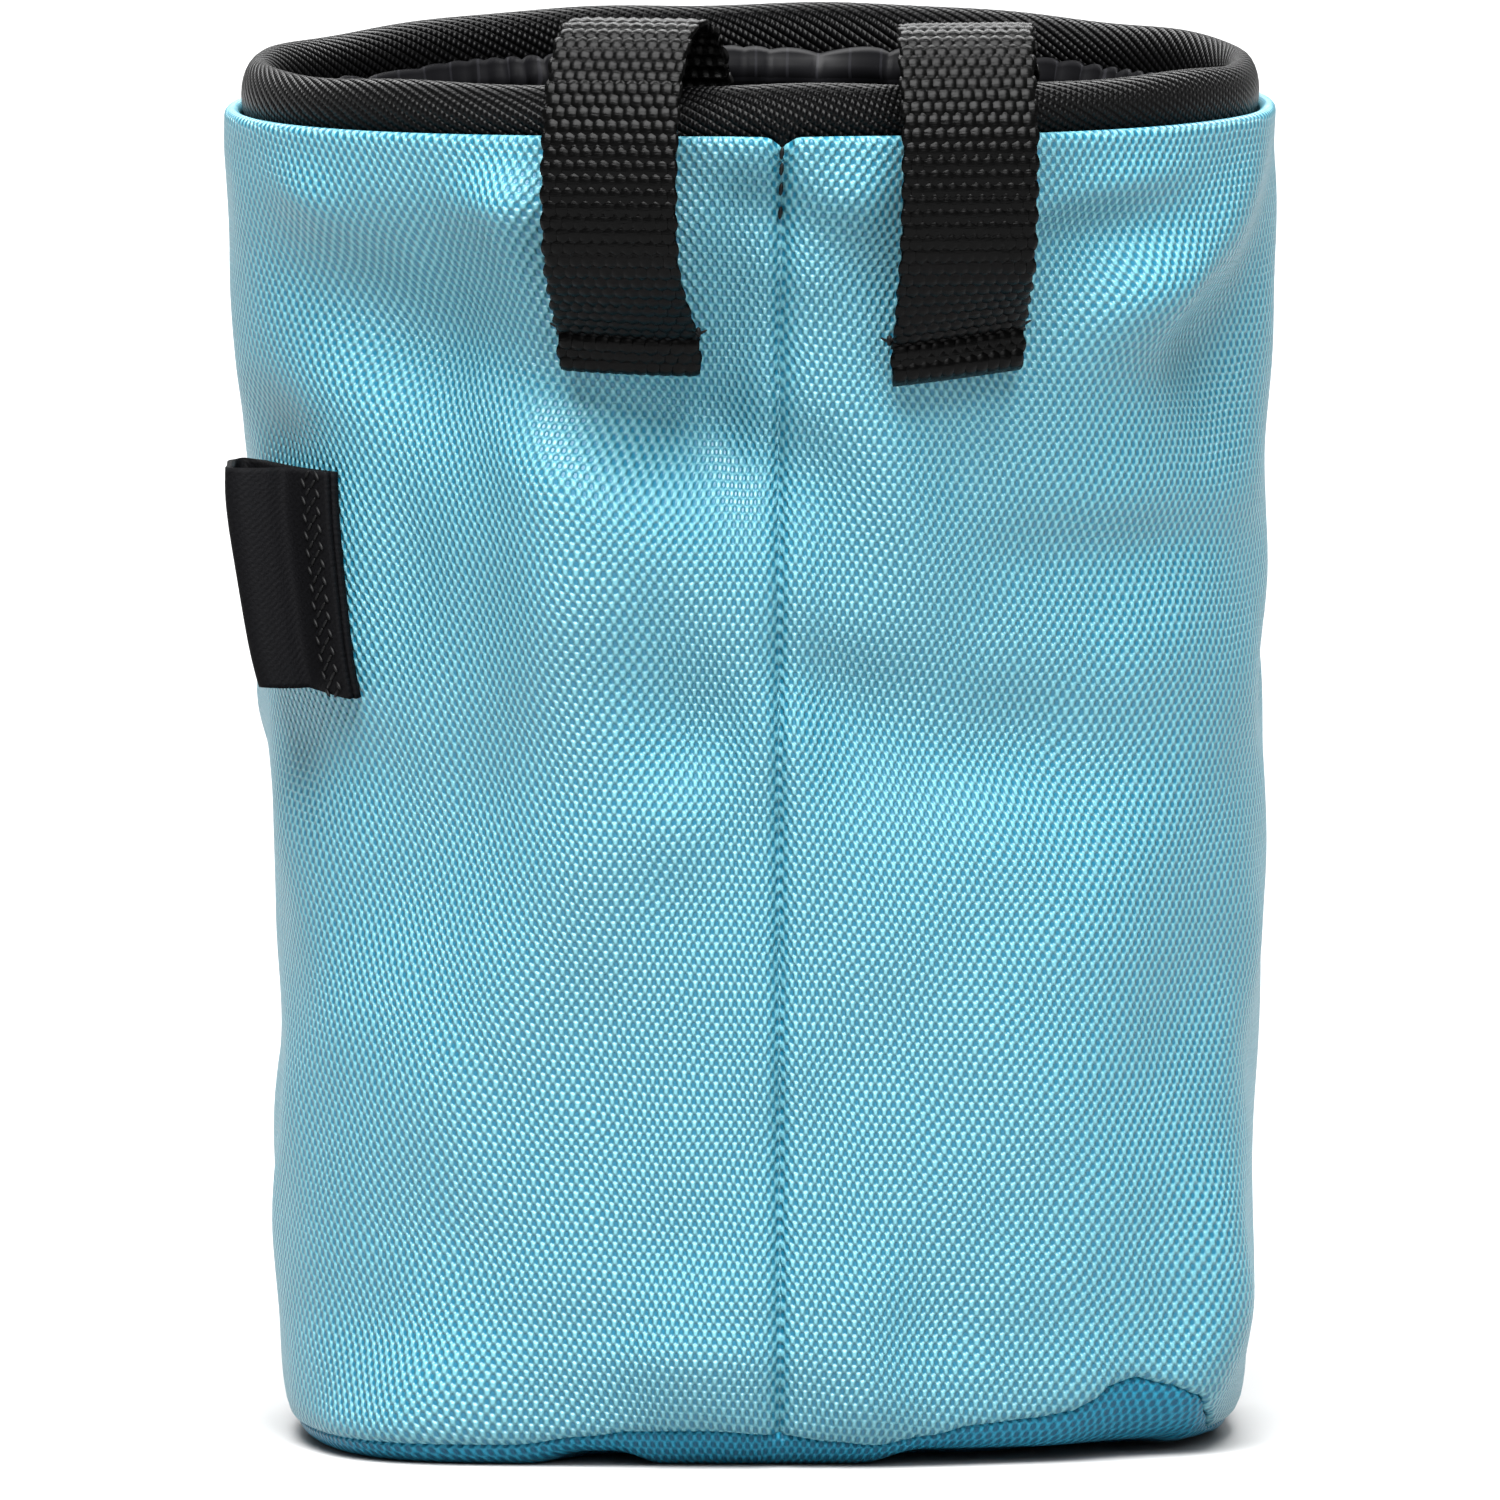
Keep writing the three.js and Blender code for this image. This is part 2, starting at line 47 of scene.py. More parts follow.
# Sizes of the bag, as in the part's source
BAG_HEIGHT = 171.0
MOUTH_WIDTH = 130.0
MOUTH_DEPTH = 118.0
BASE_WIDTH = 121.0
BASE_DEPTH = 96.0
PANEL_WALL = 1.6
BASE_WALL = 1.4
LINING_WALL = 1.0
PIECE_GAP = 0.35
BINDING_HEIGHT = 8.8
BINDING_THICKNESS = 4.6
BINDING_SHOWS = 6.0
BINDING_CLEARANCE = 0.5
RIM_BACK_RISE = 1.6
RIM_LEFT_SAG = 1.8
RIM_RIGHT_SAG = 1.2
RIM_REACH = 45.0
BASE_TURN = 10.4
BASE_TUCK = 1.2
BASE_UNDERCUT = 3.0
SEAM_ANGLE = 2.6
SEAM_DEPTH = 0.9
FOLD_DEPTH = 3.0
LINING_SLACK = 1.7
LINING_FLOOR_GAP = 1.2
LINING_CORNER = 7.0
WEBBING_WIDTH = 16.2
WEBBING_THICKNESS = 1.6
TAB_DROP = 28.3
TAB_HEIGHT = 7.0
TAB_GAP = 0.55
ARCH_RISE = 6.2
LOOP_STAND_OFF = 9.2
INNER_DROP = 12.0
INNER_CLEARANCE = 0.6
LOOP_SWAY = 4.0
ELASTIC_HEIGHT = 27.8
ELASTIC_THICKNESS = 1.0
BRUSH_LOOP_TOP = 121.5
BRUSH_LOOP_ANGLE = -58.5
BRUSH_LOOP_LENGTH = 20.0
BRUSH_LOOP_BULGE = 8.2
BRUSH_LOOP_CLOSING = 0.88
BRUSH_LOOP_LEAN = 3.1
BRUSH_FOOT_RISE = 2.5
BRUSH_FOOT_LENGTH = 0.8

# Sizes that are in this scene alone, or finer here than in the part
PANEL_CLOTH = 0.6
BASE_CLOTH = 0.9
LINING_CLOTH = 0.3
WEBBING_BODY = 1.25
LINING_SHOWS_BELOW = 5.0
SEAM_HALF_WIDTH = 0.8
SEAM_STITCH_HEIGHTS = (162.9, 160.9, 158.3, 155.3)
FOOT_STANDS_OUT = 2.8
RIB_PITCH = 1.55
KNOT_PITCH = 1.45
RIB_HEIGHT = 0.5
FOLDED_END = 4.2
TACK_LINE = FOLDED_END + 0.9
TACK_STITCHES = 13
BRUSH_STITCHES = 26
WELD = 0.01

PANEL_TOP = BAG_HEIGHT - BINDING_SHOWS
MEAN_RADIUS = (MOUTH_WIDTH + MOUTH_DEPTH + BASE_WIDTH + BASE_DEPTH) / 8

Section = namedtuple("Section", "up left right front back square")
Fold = namedtuple("Fold", "around up along across tilt depth")
Ripple = namedtuple("Ripple", "turns rises phase size")
SeamPoint = namedtuple("SeamPoint", "around lift")
Arch = namedtuple("Arch", "around flat fade rise")
StrapPoint = namedtuple("StrapPoint", "up out sway")
BandPoint = namedtuple("BandPoint", "along out ply")
Loop = namedtuple("Loop", "around turn tilt lower within")
Calm = namedtuple("Calm", "around up wide tall")
GrainPoint = namedtuple("GrainPoint", "around slope")
Stitch = namedtuple("Stitch", "middle along outward length thickness")
Lamp = namedtuple("Lamp", "name place aim size power")

# Outline of the panel, as shares of a straight taper from base to mouth
SECTIONS = [
    Section(up=0.000, left=0.940, right=0.940, front=0.950, back=0.950, square=3.0),
    Section(up=0.030, left=0.968, right=0.976, front=0.985, back=0.980, square=3.0),
    Section(up=0.075, left=0.980, right=0.990, front=1.010, back=1.000, square=3.0),
    Section(up=0.170, left=0.989, right=0.989, front=1.005, back=1.000, square=2.95),
    Section(up=0.380, left=0.965, right=1.000, front=0.955, back=0.975, square=2.75),
    Section(up=0.510, left=0.971, right=0.991, front=0.925, back=0.955, square=2.5),
    Section(up=0.700, left=0.986, right=0.993, front=0.910, back=0.945, square=2.3),
    Section(up=0.810, left=1.018, right=0.987, front=0.930, back=0.955, square=2.2),
    Section(up=0.900, left=1.026, right=0.984, front=0.965, back=0.975, square=2.1),
    Section(up=1.000, left=1.022, right=0.982, front=1.000, back=1.000, square=2.05),
]

# Broad folds of the panel, the same as in the solids
FOLDS = [
    Fold(around=-44, up=0.800, along=0.13, across=0.070, tilt=-12, depth=-1.00),
    Fold(around=-28, up=0.890, along=0.07, across=0.060, tilt=30, depth=-0.45),
    Fold(around=44, up=0.880, along=0.12, across=0.055, tilt=25, depth=-0.80),
    Fold(around=62, up=0.860, along=0.13, across=0.035, tilt=55, depth=0.45),
    Fold(around=71, up=0.830, along=0.11, across=0.045, tilt=55, depth=-0.70),
    Fold(around=-9, up=0.750, along=0.15, across=0.050, tilt=-20, depth=-0.55),
    Fold(around=-12, up=0.550, along=0.14, across=0.055, tilt=-30, depth=-0.70),
    Fold(around=26, up=0.535, along=0.18, across=0.055, tilt=-8, depth=-0.85),
    Fold(around=50, up=0.655, along=0.11, across=0.045, tilt=4, depth=-0.60),
    Fold(around=-46, up=0.400, along=0.12, across=0.060, tilt=22, depth=-0.55),
    Fold(around=-70, up=0.760, along=0.06, across=0.035, tilt=0, depth=-0.70),
    Fold(around=-66, up=0.520, along=0.05, across=0.050, tilt=60, depth=-0.60),
    Fold(around=-58, up=0.250, along=0.16, across=0.060, tilt=60, depth=-0.35),
    Fold(around=-47, up=0.010, along=0.09, across=0.090, tilt=0, depth=1.50),
    Fold(around=54, up=0.095, along=0.07, across=0.035, tilt=50, depth=-0.60),
    Fold(around=112, up=0.700, along=0.14, across=0.060, tilt=-25, depth=-0.75),
    Fold(around=138, up=0.480, along=0.16, across=0.060, tilt=15, depth=-0.70),
    Fold(around=170, up=0.760, along=0.17, across=0.065, tilt=10, depth=-0.90),
    Fold(around=188, up=0.420, along=0.14, across=0.055, tilt=-28, depth=-0.60),
    Fold(around=222, up=0.620, along=0.15, across=0.060, tilt=24, depth=-0.80),
    Fold(around=252, up=0.330, along=0.12, across=0.055, tilt=-15, depth=-0.55),
]

# Finer creases and ridges of the cloth, which are in this scene alone. On the side that shows,
# several rows add up to one crease, and the rows past 90 degrees are invented.
CREASES = [
    Fold(around=-60, up=0.945, along=0.042, across=0.025, tilt=-30, depth=0.38),
    Fold(around=-56, up=0.758, along=0.121, across=0.061, tilt=0, depth=0.39),
    Fold(around=-55, up=0.606, along=0.121, across=0.039, tilt=90, depth=-0.67),
    Fold(around=-54, up=0.612, along=0.121, across=0.061, tilt=75, depth=-0.67),
    Fold(around=-53, up=0.830, along=0.042, across=0.039, tilt=-30, depth=-0.67),
    Fold(around=-52, up=0.867, along=0.121, across=0.039, tilt=-15, depth=-0.67),
    Fold(around=-52, up=0.109, along=0.121, across=0.061, tilt=75, depth=-0.67),
    Fold(around=-51, up=0.909, along=0.121, across=0.061, tilt=30, depth=-0.67),
    Fold(around=-48, up=0.467, along=0.121, across=0.061, tilt=45, depth=-0.67),
    Fold(around=-43, up=0.867, along=0.121, across=0.039, tilt=75, depth=-0.67),
    Fold(around=-35, up=0.945, along=0.121, across=0.039, tilt=0, depth=0.67),
    Fold(around=-30, up=0.945, along=0.121, across=0.061, tilt=-60, depth=0.67),
    Fold(around=-30, up=0.945, along=0.121, across=0.025, tilt=90, depth=0.59),
    Fold(around=-29, up=0.764, along=0.073, across=0.039, tilt=-45, depth=0.54),
    Fold(around=-27, up=0.697, along=0.121, across=0.061, tilt=90, depth=0.67),
    Fold(around=-26, up=0.448, along=0.121, across=0.061, tilt=60, depth=0.61),
    Fold(around=-25, up=0.648, along=0.121, across=0.061, tilt=60, depth=0.67),
    Fold(around=-23, up=0.558, along=0.121, across=0.039, tilt=-45, depth=0.29),
    Fold(around=-23, up=0.752, along=0.073, across=0.039, tilt=-30, depth=0.63),
    Fold(around=-23, up=0.612, along=0.121, across=0.061, tilt=90, depth=0.67),
    Fold(around=-21, up=0.721, along=0.121, across=0.061, tilt=-15, depth=0.67),
    Fold(around=-21, up=0.612, along=0.121, across=0.061, tilt=75, depth=0.67),
    Fold(around=-18, up=0.382, along=0.121, across=0.061, tilt=-45, depth=0.36),
    Fold(around=-13, up=0.485, along=0.121, across=0.039, tilt=30, depth=0.43),
    Fold(around=-10, up=0.109, along=0.121, across=0.017, tilt=0, depth=-0.18),
    Fold(around=-8, up=0.097, along=0.121, across=0.039, tilt=0, depth=0.62),
    Fold(around=-7, up=0.097, along=0.121, across=0.061, tilt=60, depth=0.67),
    Fold(around=-6, up=0.770, along=0.121, across=0.039, tilt=-15, depth=-0.67),
    Fold(around=-6, up=0.776, along=0.121, across=0.039, tilt=-15, depth=-0.49),
    Fold(around=-5, up=0.824, along=0.121, across=0.061, tilt=30, depth=-0.67),
    Fold(around=-2, up=0.921, along=0.121, across=0.039, tilt=75, depth=-0.67),
    Fold(around=-1, up=0.836, along=0.121, across=0.061, tilt=45, depth=-0.67),
    Fold(around=2, up=0.558, along=0.121, across=0.039, tilt=-60, depth=0.67),
    Fold(around=7, up=0.927, along=0.121, across=0.025, tilt=-30, depth=-0.54),
    Fold(around=10, up=0.588, along=0.073, across=0.039, tilt=-15, depth=-0.67),
    Fold(around=10, up=0.933, along=0.121, across=0.039, tilt=75, depth=0.67),
    Fold(around=14, up=0.097, along=0.121, across=0.039, tilt=90, depth=0.67),
    Fold(around=18, up=0.733, along=0.073, across=0.039, tilt=-60, depth=0.67),
    Fold(around=38, up=0.945, along=0.121, across=0.017, tilt=15, depth=0.39),
    Fold(around=40, up=0.558, along=0.073, across=0.061, tilt=-15, depth=-0.67),
    Fold(around=41, up=0.933, along=0.073, across=0.025, tilt=0, depth=-0.40),
    Fold(around=50, up=0.879, along=0.073, across=0.039, tilt=15, depth=0.39),
    Fold(around=51, up=0.685, along=0.121, across=0.025, tilt=0, depth=-0.33),
    Fold(around=51, up=0.945, along=0.121, across=0.061, tilt=-75, depth=0.67),
    Fold(around=52, up=0.879, along=0.073, across=0.039, tilt=15, depth=0.67),
    Fold(around=53, up=0.879, along=0.121, across=0.039, tilt=30, depth=0.67),
    Fold(around=56, up=0.867, along=0.042, across=0.017, tilt=45, depth=0.26),
    Fold(around=57, up=0.333, along=0.121, across=0.061, tilt=75, depth=-0.67),
    Fold(around=60, up=0.115, along=0.121, across=0.061, tilt=60, depth=0.67),
    Fold(around=60, up=0.097, along=0.121, across=0.039, tilt=15, depth=0.40),
    Fold(around=60, up=0.848, along=0.121, across=0.061, tilt=-60, depth=-0.67),
    Fold(around=60, up=0.836, along=0.073, across=0.039, tilt=45, depth=-0.67),
    Fold(around=60, up=0.127, along=0.121, across=0.039, tilt=75, depth=0.67),
    Fold(around=95, up=0.620, along=0.110, across=0.030, tilt=48, depth=-0.54),
    Fold(around=105, up=0.300, along=0.140, across=0.030, tilt=70, depth=-0.51),
    Fold(around=128, up=0.830, along=0.100, across=0.026, tilt=-34, depth=-0.60),
    Fold(around=150, up=0.640, along=0.120, across=0.028, tilt=28, depth=-0.54),
    Fold(around=165, up=0.300, along=0.130, across=0.030, tilt=-50, depth=0.54),
    Fold(around=192, up=0.590, along=0.110, across=0.024, tilt=-18, depth=-0.60),
    Fold(around=205, up=0.860, along=0.090, across=0.024, tilt=38, depth=-0.57),
    Fold(around=215, up=0.240, along=0.120, across=0.030, tilt=55, depth=-0.51),
    Fold(around=240, up=0.760, along=0.100, across=0.028, tilt=-42, depth=-0.54),
    Fold(around=258, up=0.520, along=0.110, across=0.028, tilt=30, depth=0.51),
    Fold(around=272, up=0.160, along=0.120, across=0.032, tilt=72, depth=-0.45),
]

# Shallow unevenness of the whole cloth: turns around the bag and up it, with sizes in millimetres
RIPPLES = [
    Ripple(turns=5, rises=2.3, phase=0.4, size=0.20),
    Ripple(turns=-7, rises=3.1, phase=2.1, size=0.16),
    Ripple(turns=11, rises=-4.6, phase=4.0, size=0.12),
    Ripple(turns=13, rises=6.2, phase=1.2, size=0.09),
    Ripple(turns=-17, rises=8.3, phase=5.3, size=0.06),
    Ripple(turns=23, rises=5.1, phase=3.3, size=0.05),
]

# Where the cloth lies smooth, behind the brush loop: its middle, then half sizes in degrees round
# the bag and as a share of the panel's height
CALM = Calm(around=BRUSH_LOOP_ANGLE - 6, up=0.65, wide=16, tall=0.12)

# Slope of the cloth's rows by angle: the bag is sewn a little off the grain. The slopes behind it
# bring the rows back to the height that they started from.
GRAIN = [
    GrainPoint(around=-180, slope=-0.10870),
    GrainPoint(around=-120, slope=-0.10870),
    GrainPoint(around=-75, slope=0.10),
    GrainPoint(around=-50, slope=0.22),
    GrainPoint(around=-30, slope=0.12),
    GrainPoint(around=-4, slope=0.05),
    GrainPoint(around=6, slope=0.11),
    GrainPoint(around=30, slope=0.11),
    GrainPoint(around=60, slope=0.04),
    GrainPoint(around=120, slope=-0.10870),
    GrainPoint(around=180, slope=-0.10870),
]

# Height of the base seam, as a share of BASE_TURN
BASE_SEAM = [
    SeamPoint(around=-75, lift=0.25),
    SeamPoint(around=-45, lift=0.25),
    SeamPoint(around=-33, lift=0.26),
    SeamPoint(around=-24, lift=0.37),
    SeamPoint(around=-18, lift=0.44),
    SeamPoint(around=-8, lift=0.45),
    SeamPoint(around=3, lift=0.40),
    SeamPoint(around=10, lift=0.32),
    SeamPoint(around=16, lift=0.27),
    SeamPoint(around=23, lift=0.38),
    SeamPoint(around=29, lift=0.50),
    SeamPoint(around=36, lift=0.56),
    SeamPoint(around=41, lift=0.63),
    SeamPoint(around=43.5, lift=0.76),
    SeamPoint(around=45.5, lift=0.93),
    SeamPoint(around=48.5, lift=1.00),
    SeamPoint(around=52, lift=0.90),
    SeamPoint(around=56, lift=0.75),
    SeamPoint(around=60, lift=0.49),
    SeamPoint(around=65, lift=0.25),
    SeamPoint(around=110, lift=0.33),
    SeamPoint(around=140, lift=0.27),
    SeamPoint(around=180, lift=0.36),
    SeamPoint(around=215, lift=0.27),
    SeamPoint(around=250, lift=0.33),
    SeamPoint(around=285, lift=0.25),
]

# Where the edge of the base lifts off the floor: flat and fade are half lengths in degrees
ARCHES = [
    Arch(around=-24, flat=2, fade=7, rise=1.6),
    Arch(around=40, flat=16, fade=9, rise=1.8),
    Arch(around=60, flat=8, fade=14, rise=1.0),
]

# Middle line of a belt loop, from its tab over the rim to its inner end
STRAP_LINE = [
    StrapPoint(up=0.00, out=0.00, sway=0.00),
    StrapPoint(up=0.09, out=0.02, sway=0.00),
    StrapPoint(up=0.20, out=0.50, sway=-0.02),
    StrapPoint(up=0.36, out=0.92, sway=-0.03),
    StrapPoint(up=0.55, out=1.00, sway=-0.02),
    StrapPoint(up=0.74, out=0.78, sway=0.00),
    StrapPoint(up=0.89, out=0.36, sway=0.04),
    StrapPoint(up=0.975, out=-0.08, sway=0.16),
    StrapPoint(up=1.00, out=-0.46, sway=0.34),
    StrapPoint(up=0.960, out=-0.84, sway=0.62),
    StrapPoint(up=0.860, out=-1.02, sway=0.86),
]

# The two belt loops. within is a point under each arch, which the webbing's faces look away from.
LEFT_LOOP = Loop(around=-17.3, turn=-9, tilt=-3, lower=0, within=(-15, -54, 160))
RIGHT_LOOP = Loop(around=25.4, turn=8, tilt=6, lower=0.9, within=(25, -50, 160))

# Middle line of the brush loop, from its tab along the panel and back over the bulge
BRUSH_LINE = [
    BandPoint(along=0.00, out=0.00, ply=0),
    BandPoint(along=0.36, out=0.00, ply=0),
    BandPoint(along=0.50, out=0.00, ply=0),
    BandPoint(along=0.64, out=0.00, ply=0),
    BandPoint(along=0.79, out=0.00, ply=0),
    BandPoint(along=0.92, out=0.02, ply=0),
    BandPoint(along=0.99, out=0.13, ply=0),
    BandPoint(along=0.98, out=0.30, ply=0),
    BandPoint(along=0.87, out=0.48, ply=0),
    BandPoint(along=0.72, out=0.66, ply=0),
    BandPoint(along=0.58, out=0.84, ply=0),
    BandPoint(along=0.48, out=0.98, ply=0),
    BandPoint(along=0.42, out=0.86, ply=0.3),
    BandPoint(along=0.385, out=0.48, ply=0.7),
    BandPoint(along=0.36, out=0.08, ply=1),
    BandPoint(along=0.00, out=0.00, ply=1),
]

# Area lamps: place and aim in metres, size in metres, power in watts
LAMPS = [
    Lamp("key", place=(-0.05, -0.55, 1.25), aim=(0, 0, 0.08), size=1.0, power=70),
    Lamp("front", place=(0.3, -1.25, 0.8), aim=(0, 0, 0.08), size=0.6, power=5),
    Lamp("sweep", place=(0, 2.0, 1.5), aim=(0, 2.0, 0.08), size=2.4, power=130),
]


# Reading the tables


def mix(a, b, share):
    return a + (b - a) * share


def smooth(share):
    share = np.clip(share, 0, 1)
    return share * share * (3 - 2 * share)


def column(rows, name):
    return np.array([getattr(row, name) for row in rows], float)


def read_sections(up, name):
    """A column of SECTIONS at a height, on a smooth curve through its rows."""
    ups = column(SECTIONS, "up")
    values = column(SECTIONS, name)
    last = len(ups) - 1
    row = np.clip(np.searchsorted(ups, up, side="right") - 1, 0, last - 1)
    share = np.clip((up - ups[row]) / (ups[row + 1] - ups[row]), 0, 1)
    before, start, end = values[np.maximum(row - 1, 0)], values[row], values[row + 1]
    after = values[np.minimum(row + 2, last)]
    s2, s3 = share**2, share**3
    return (
        (2 * s3 - 3 * s2 + 1) * start
        + (s3 - 2 * s2 + share) * (end - before) / 2
        + (3 * s2 - 2 * s3) * end
        + (s3 - s2) * (after - start) / 2
    )


def base_seam(angle):
    """Height of the seam between panel and base, in millimetres."""
    around = column(BASE_SEAM, "around")
    lift = column(BASE_SEAM, "lift")
    around = np.append(around, around[0] + 360)
    lift = np.append(lift, lift[0])
    turned = around[0] + np.mod(angle - around[0], 360)
    row = np.clip(np.searchsorted(around, turned, side="right") - 1, 0, len(lift) - 2)
    share = smooth((turned - around[row]) / (around[row + 1] - around[row]))
    return mix(lift[row], lift[row + 1], share) * BASE_TURN


def turn_between(start, end):
    """Degrees from start to end, the shorter way round."""
    return np.mod(end - start + 180, 360) - 180


def round_bag(angle):
    """An angle as a distance round the bag, in millimetres."""
    return np.radians(angle) * MEAN_RADIUS


def fold_offset(angle, up, folds=FOLDS):
    """How far the folds stand out at an angle and a height, in millimetres."""
    offset = np.zeros(np.broadcast(angle, up).shape)
    for fold in folds:
        sideways = round_bag(turn_between(fold.around, angle))
        upwards = (up - fold.up) * PANEL_TOP
        tilt = math.radians(fold.tilt)
        along = sideways * math.cos(tilt) + upwards * math.sin(tilt)
        across = upwards * math.cos(tilt) - sideways * math.sin(tilt)
        reach = (along / (fold.along * PANEL_TOP)) ** 2 + (across / (fold.across * PANEL_TOP)) ** 2
        offset += fold.depth * FOLD_DEPTH * np.exp(-reach)
    return offset


def outline_radius(angle, up):
    """Radius of the panel without its folds: a rounded oval that grows rounder upwards."""
    sideways, frontwards = np.sin(np.radians(angle)), np.cos(np.radians(angle))
    width = np.where(sideways < 0, read_sections(up, "left"), read_sections(up, "right"))
    depth = np.where(frontwards > 0, read_sections(up, "front"), read_sections(up, "back"))
    half_width = mix(BASE_WIDTH, MOUTH_WIDTH, up) / 2 * width
    half_depth = mix(BASE_DEPTH, MOUTH_DEPTH, up) / 2 * depth
    square = read_sections(up, "square")
    total = np.abs(sideways / half_width) ** square + np.abs(frontwards / half_depth) ** square
    return total ** (-1 / square)


def panel_radius(angle, up):
    return outline_radius(angle, up) + fold_offset(angle, up)


def cloth_relief(angle, up):
    """Creases and unevenness of the panel's cloth. They die out at the bound edges and behind the
    brush loop. At the front the foot stands out, drawn nearly straight by the base."""
    foot_band, lower_fade, upper_fade = 0.11, 0.05, 0.06
    relief = fold_offset(angle, up, CREASES)
    for wave in RIPPLES:
        turn = np.radians(angle) * wave.turns + 2 * math.pi * wave.rises * up + wave.phase
        relief = relief + wave.size * np.sin(turn)
    beside_loop = (turn_between(CALM.around, angle) / CALM.wide) ** 4 + ((up - CALM.up) / CALM.tall) ** 4
    relief = relief * (1 - np.exp(-beside_loop))
    frontwards = np.clip(np.cos(np.radians(angle)), 0, 1)
    foot = FOOT_STANDS_OUT * smooth(1 - up / foot_band) * frontwards
    return relief * smooth(up / lower_fade) * smooth((1 - up) / upper_fade) + foot


def cloth_radius(angle, up):
    return panel_radius(angle, up) + cloth_relief(angle, up)


def points_at(angle, radius, height):
    """Points at an angle from the front, a distance from the axis and a height."""
    turn = np.radians(angle)
    x, y = radius * np.sin(turn), -radius * np.cos(turn)
    return np.stack(np.broadcast_arrays(x, y, height), axis=-1)


def on_bag(angle, radius, height):
    """Points near the wall, lifted with the rim, which rises at the back and sags at its ends."""
    turn = np.radians(angle)
    sag = np.where(np.sin(turn) < 0, RIM_LEFT_SAG, RIM_RIGHT_SAG) * np.sin(turn) ** 2
    lift = RIM_BACK_RISE * (1 - np.cos(turn)) / 2 - sag
    near_rim = smooth((height - PANEL_TOP + RIM_REACH) / RIM_REACH)
    return points_at(angle, radius, height + lift * near_rim)


def smooth_line(points, count):
    """Evenly spaced points on a centripetal Catmull-Rom curve through the given ones, with the
    curve's length."""
    samples = 24
    points = np.array(points, float)
    points = np.vstack([2 * points[0] - points[1], points, 2 * points[-1] - points[-2]])
    steps = np.sqrt(np.linalg.norm(np.diff(points, axis=0), axis=1))
    knots = np.concatenate([[0], np.cumsum(steps)])
    dense = []
    for i in range(1, len(points) - 2):
        t = np.linspace(knots[i], knots[i + 1], samples, endpoint=False)[:, None]
        k0, k1, k2, k3 = knots[i - 1 : i + 3]
        p0, p1, p2, p3 = points[i - 1 : i + 3]
        a1 = (k1 - t) / (k1 - k0) * p0 + (t - k0) / (k1 - k0) * p1
        a2 = (k2 - t) / (k2 - k1) * p1 + (t - k1) / (k2 - k1) * p2
        a3 = (k3 - t) / (k3 - k2) * p2 + (t - k2) / (k3 - k2) * p3
        b1 = (k2 - t) / (k2 - k0) * a1 + (t - k0) / (k2 - k0) * a2
        b2 = (k3 - t) / (k3 - k1) * a2 + (t - k1) / (k3 - k1) * a3
        dense.append((k2 - t) / (k2 - k1) * b1 + (t - k1) / (k2 - k1) * b2)
    dense = np.vstack([*dense, points[-2]])
    run = np.concatenate([[0], np.cumsum(np.linalg.norm(np.diff(dense, axis=0), axis=1))])
    wanted = np.linspace(0, run[-1], count)
    return np.stack([np.interp(wanted, run, dense[:, i]) for i in range(3)], axis=1), run[-1]


# Making pieces


def cloth_grid(places, cloth, weld=0.0):
    """A sheet of quads. places and cloth hold, for each column and row, its point and its place
    on the cloth, all in millimetres. weld joins points that lie closer together than that."""
    columns, rows = places.shape[:2]
    mesh = bmesh.new()
    bmesh.ops.create_grid(mesh, x_segments=columns - 1, y_segments=rows - 1, size=1)
    flat = mesh.loops.layers.uv.new("cloth")
    for face in mesh.faces:
        for corner in face.loops:
            i = round((corner.vert.co.x + 1) / 2 * (columns - 1))
            j = round((corner.vert.co.y + 1) / 2 * (rows - 1))
            corner[flat].uv = cloth[i, j]
    for vertex in mesh.verts:
        i = round((vertex.co.x + 1) / 2 * (columns - 1))
        j = round((vertex.co.y + 1) / 2 * (rows - 1))
        vertex.co = Vector(places[i, j]) * MM
    if weld:
        bmesh.ops.remove_doubles(mesh, verts=mesh.verts, dist=weld * MM)
    return mesh


def finished(name, mesh, material, replaces=None, body="root"):
    """Makes the mesh a piece of the bag with its material, hangs it from its body and hides the node that
    it replaces.
    """
    for face in mesh.faces:
        face.smooth = True
    data = bpy.data.meshes.new(name)
    mesh.to_mesh(data)
    mesh.free()
    data.materials.append(material)
    piece = bpy.data.objects.new(name, data)
    bpy.context.scene.collection.objects.link(piece)
    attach(piece, body)
    if replaces:
        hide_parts(replaces)
    return piece


def thicken(piece, thickness, offset):
    """Gives a sheet its wall, in millimetres: offset -1 inwards, 1 outwards, 0 both ways."""
    wall = piece.modifiers.new("wall", "SOLIDIFY")
    wall.thickness = thickness * MM
    wall.offset = offset
    wall.use_even_offset = True


def sew(name, stitches):
    """Short sewing stitches in one mesh, with lengths and thicknesses in millimetres."""
    mesh = bmesh.new()
    for stitch in stitches:
        along = Vector(stitch.along).normalized()
        across = Vector(stitch.outward).cross(along).normalized()
        up = along.cross(across)
        turn = Matrix((along, across, up)).transposed().to_4x4()
        half_length, half_thickness = stitch.length / 2 * MM, stitch.thickness / 2 * MM
        size = Matrix.Diagonal((half_length, half_thickness, half_thickness, 1))
        place = Matrix.Translation(Vector(stitch.middle) * MM) @ turn @ size
        bmesh.ops.create_uvsphere(mesh, u_segments=8, v_segments=6, radius=1, matrix=place)
    finished(name, mesh, THREAD)


def turn_out(mesh, inside):
    """Turns all faces so that they look away from a point inside the piece, in millimetres."""
    inside = Vector(inside) * MM
    total = sum((f.calc_center_median() - inside).dot(f.normal) * f.calc_area() for f in mesh.faces)
    if total < 0:
        bmesh.ops.reverse_faces(mesh, faces=mesh.faces)


# Finishes


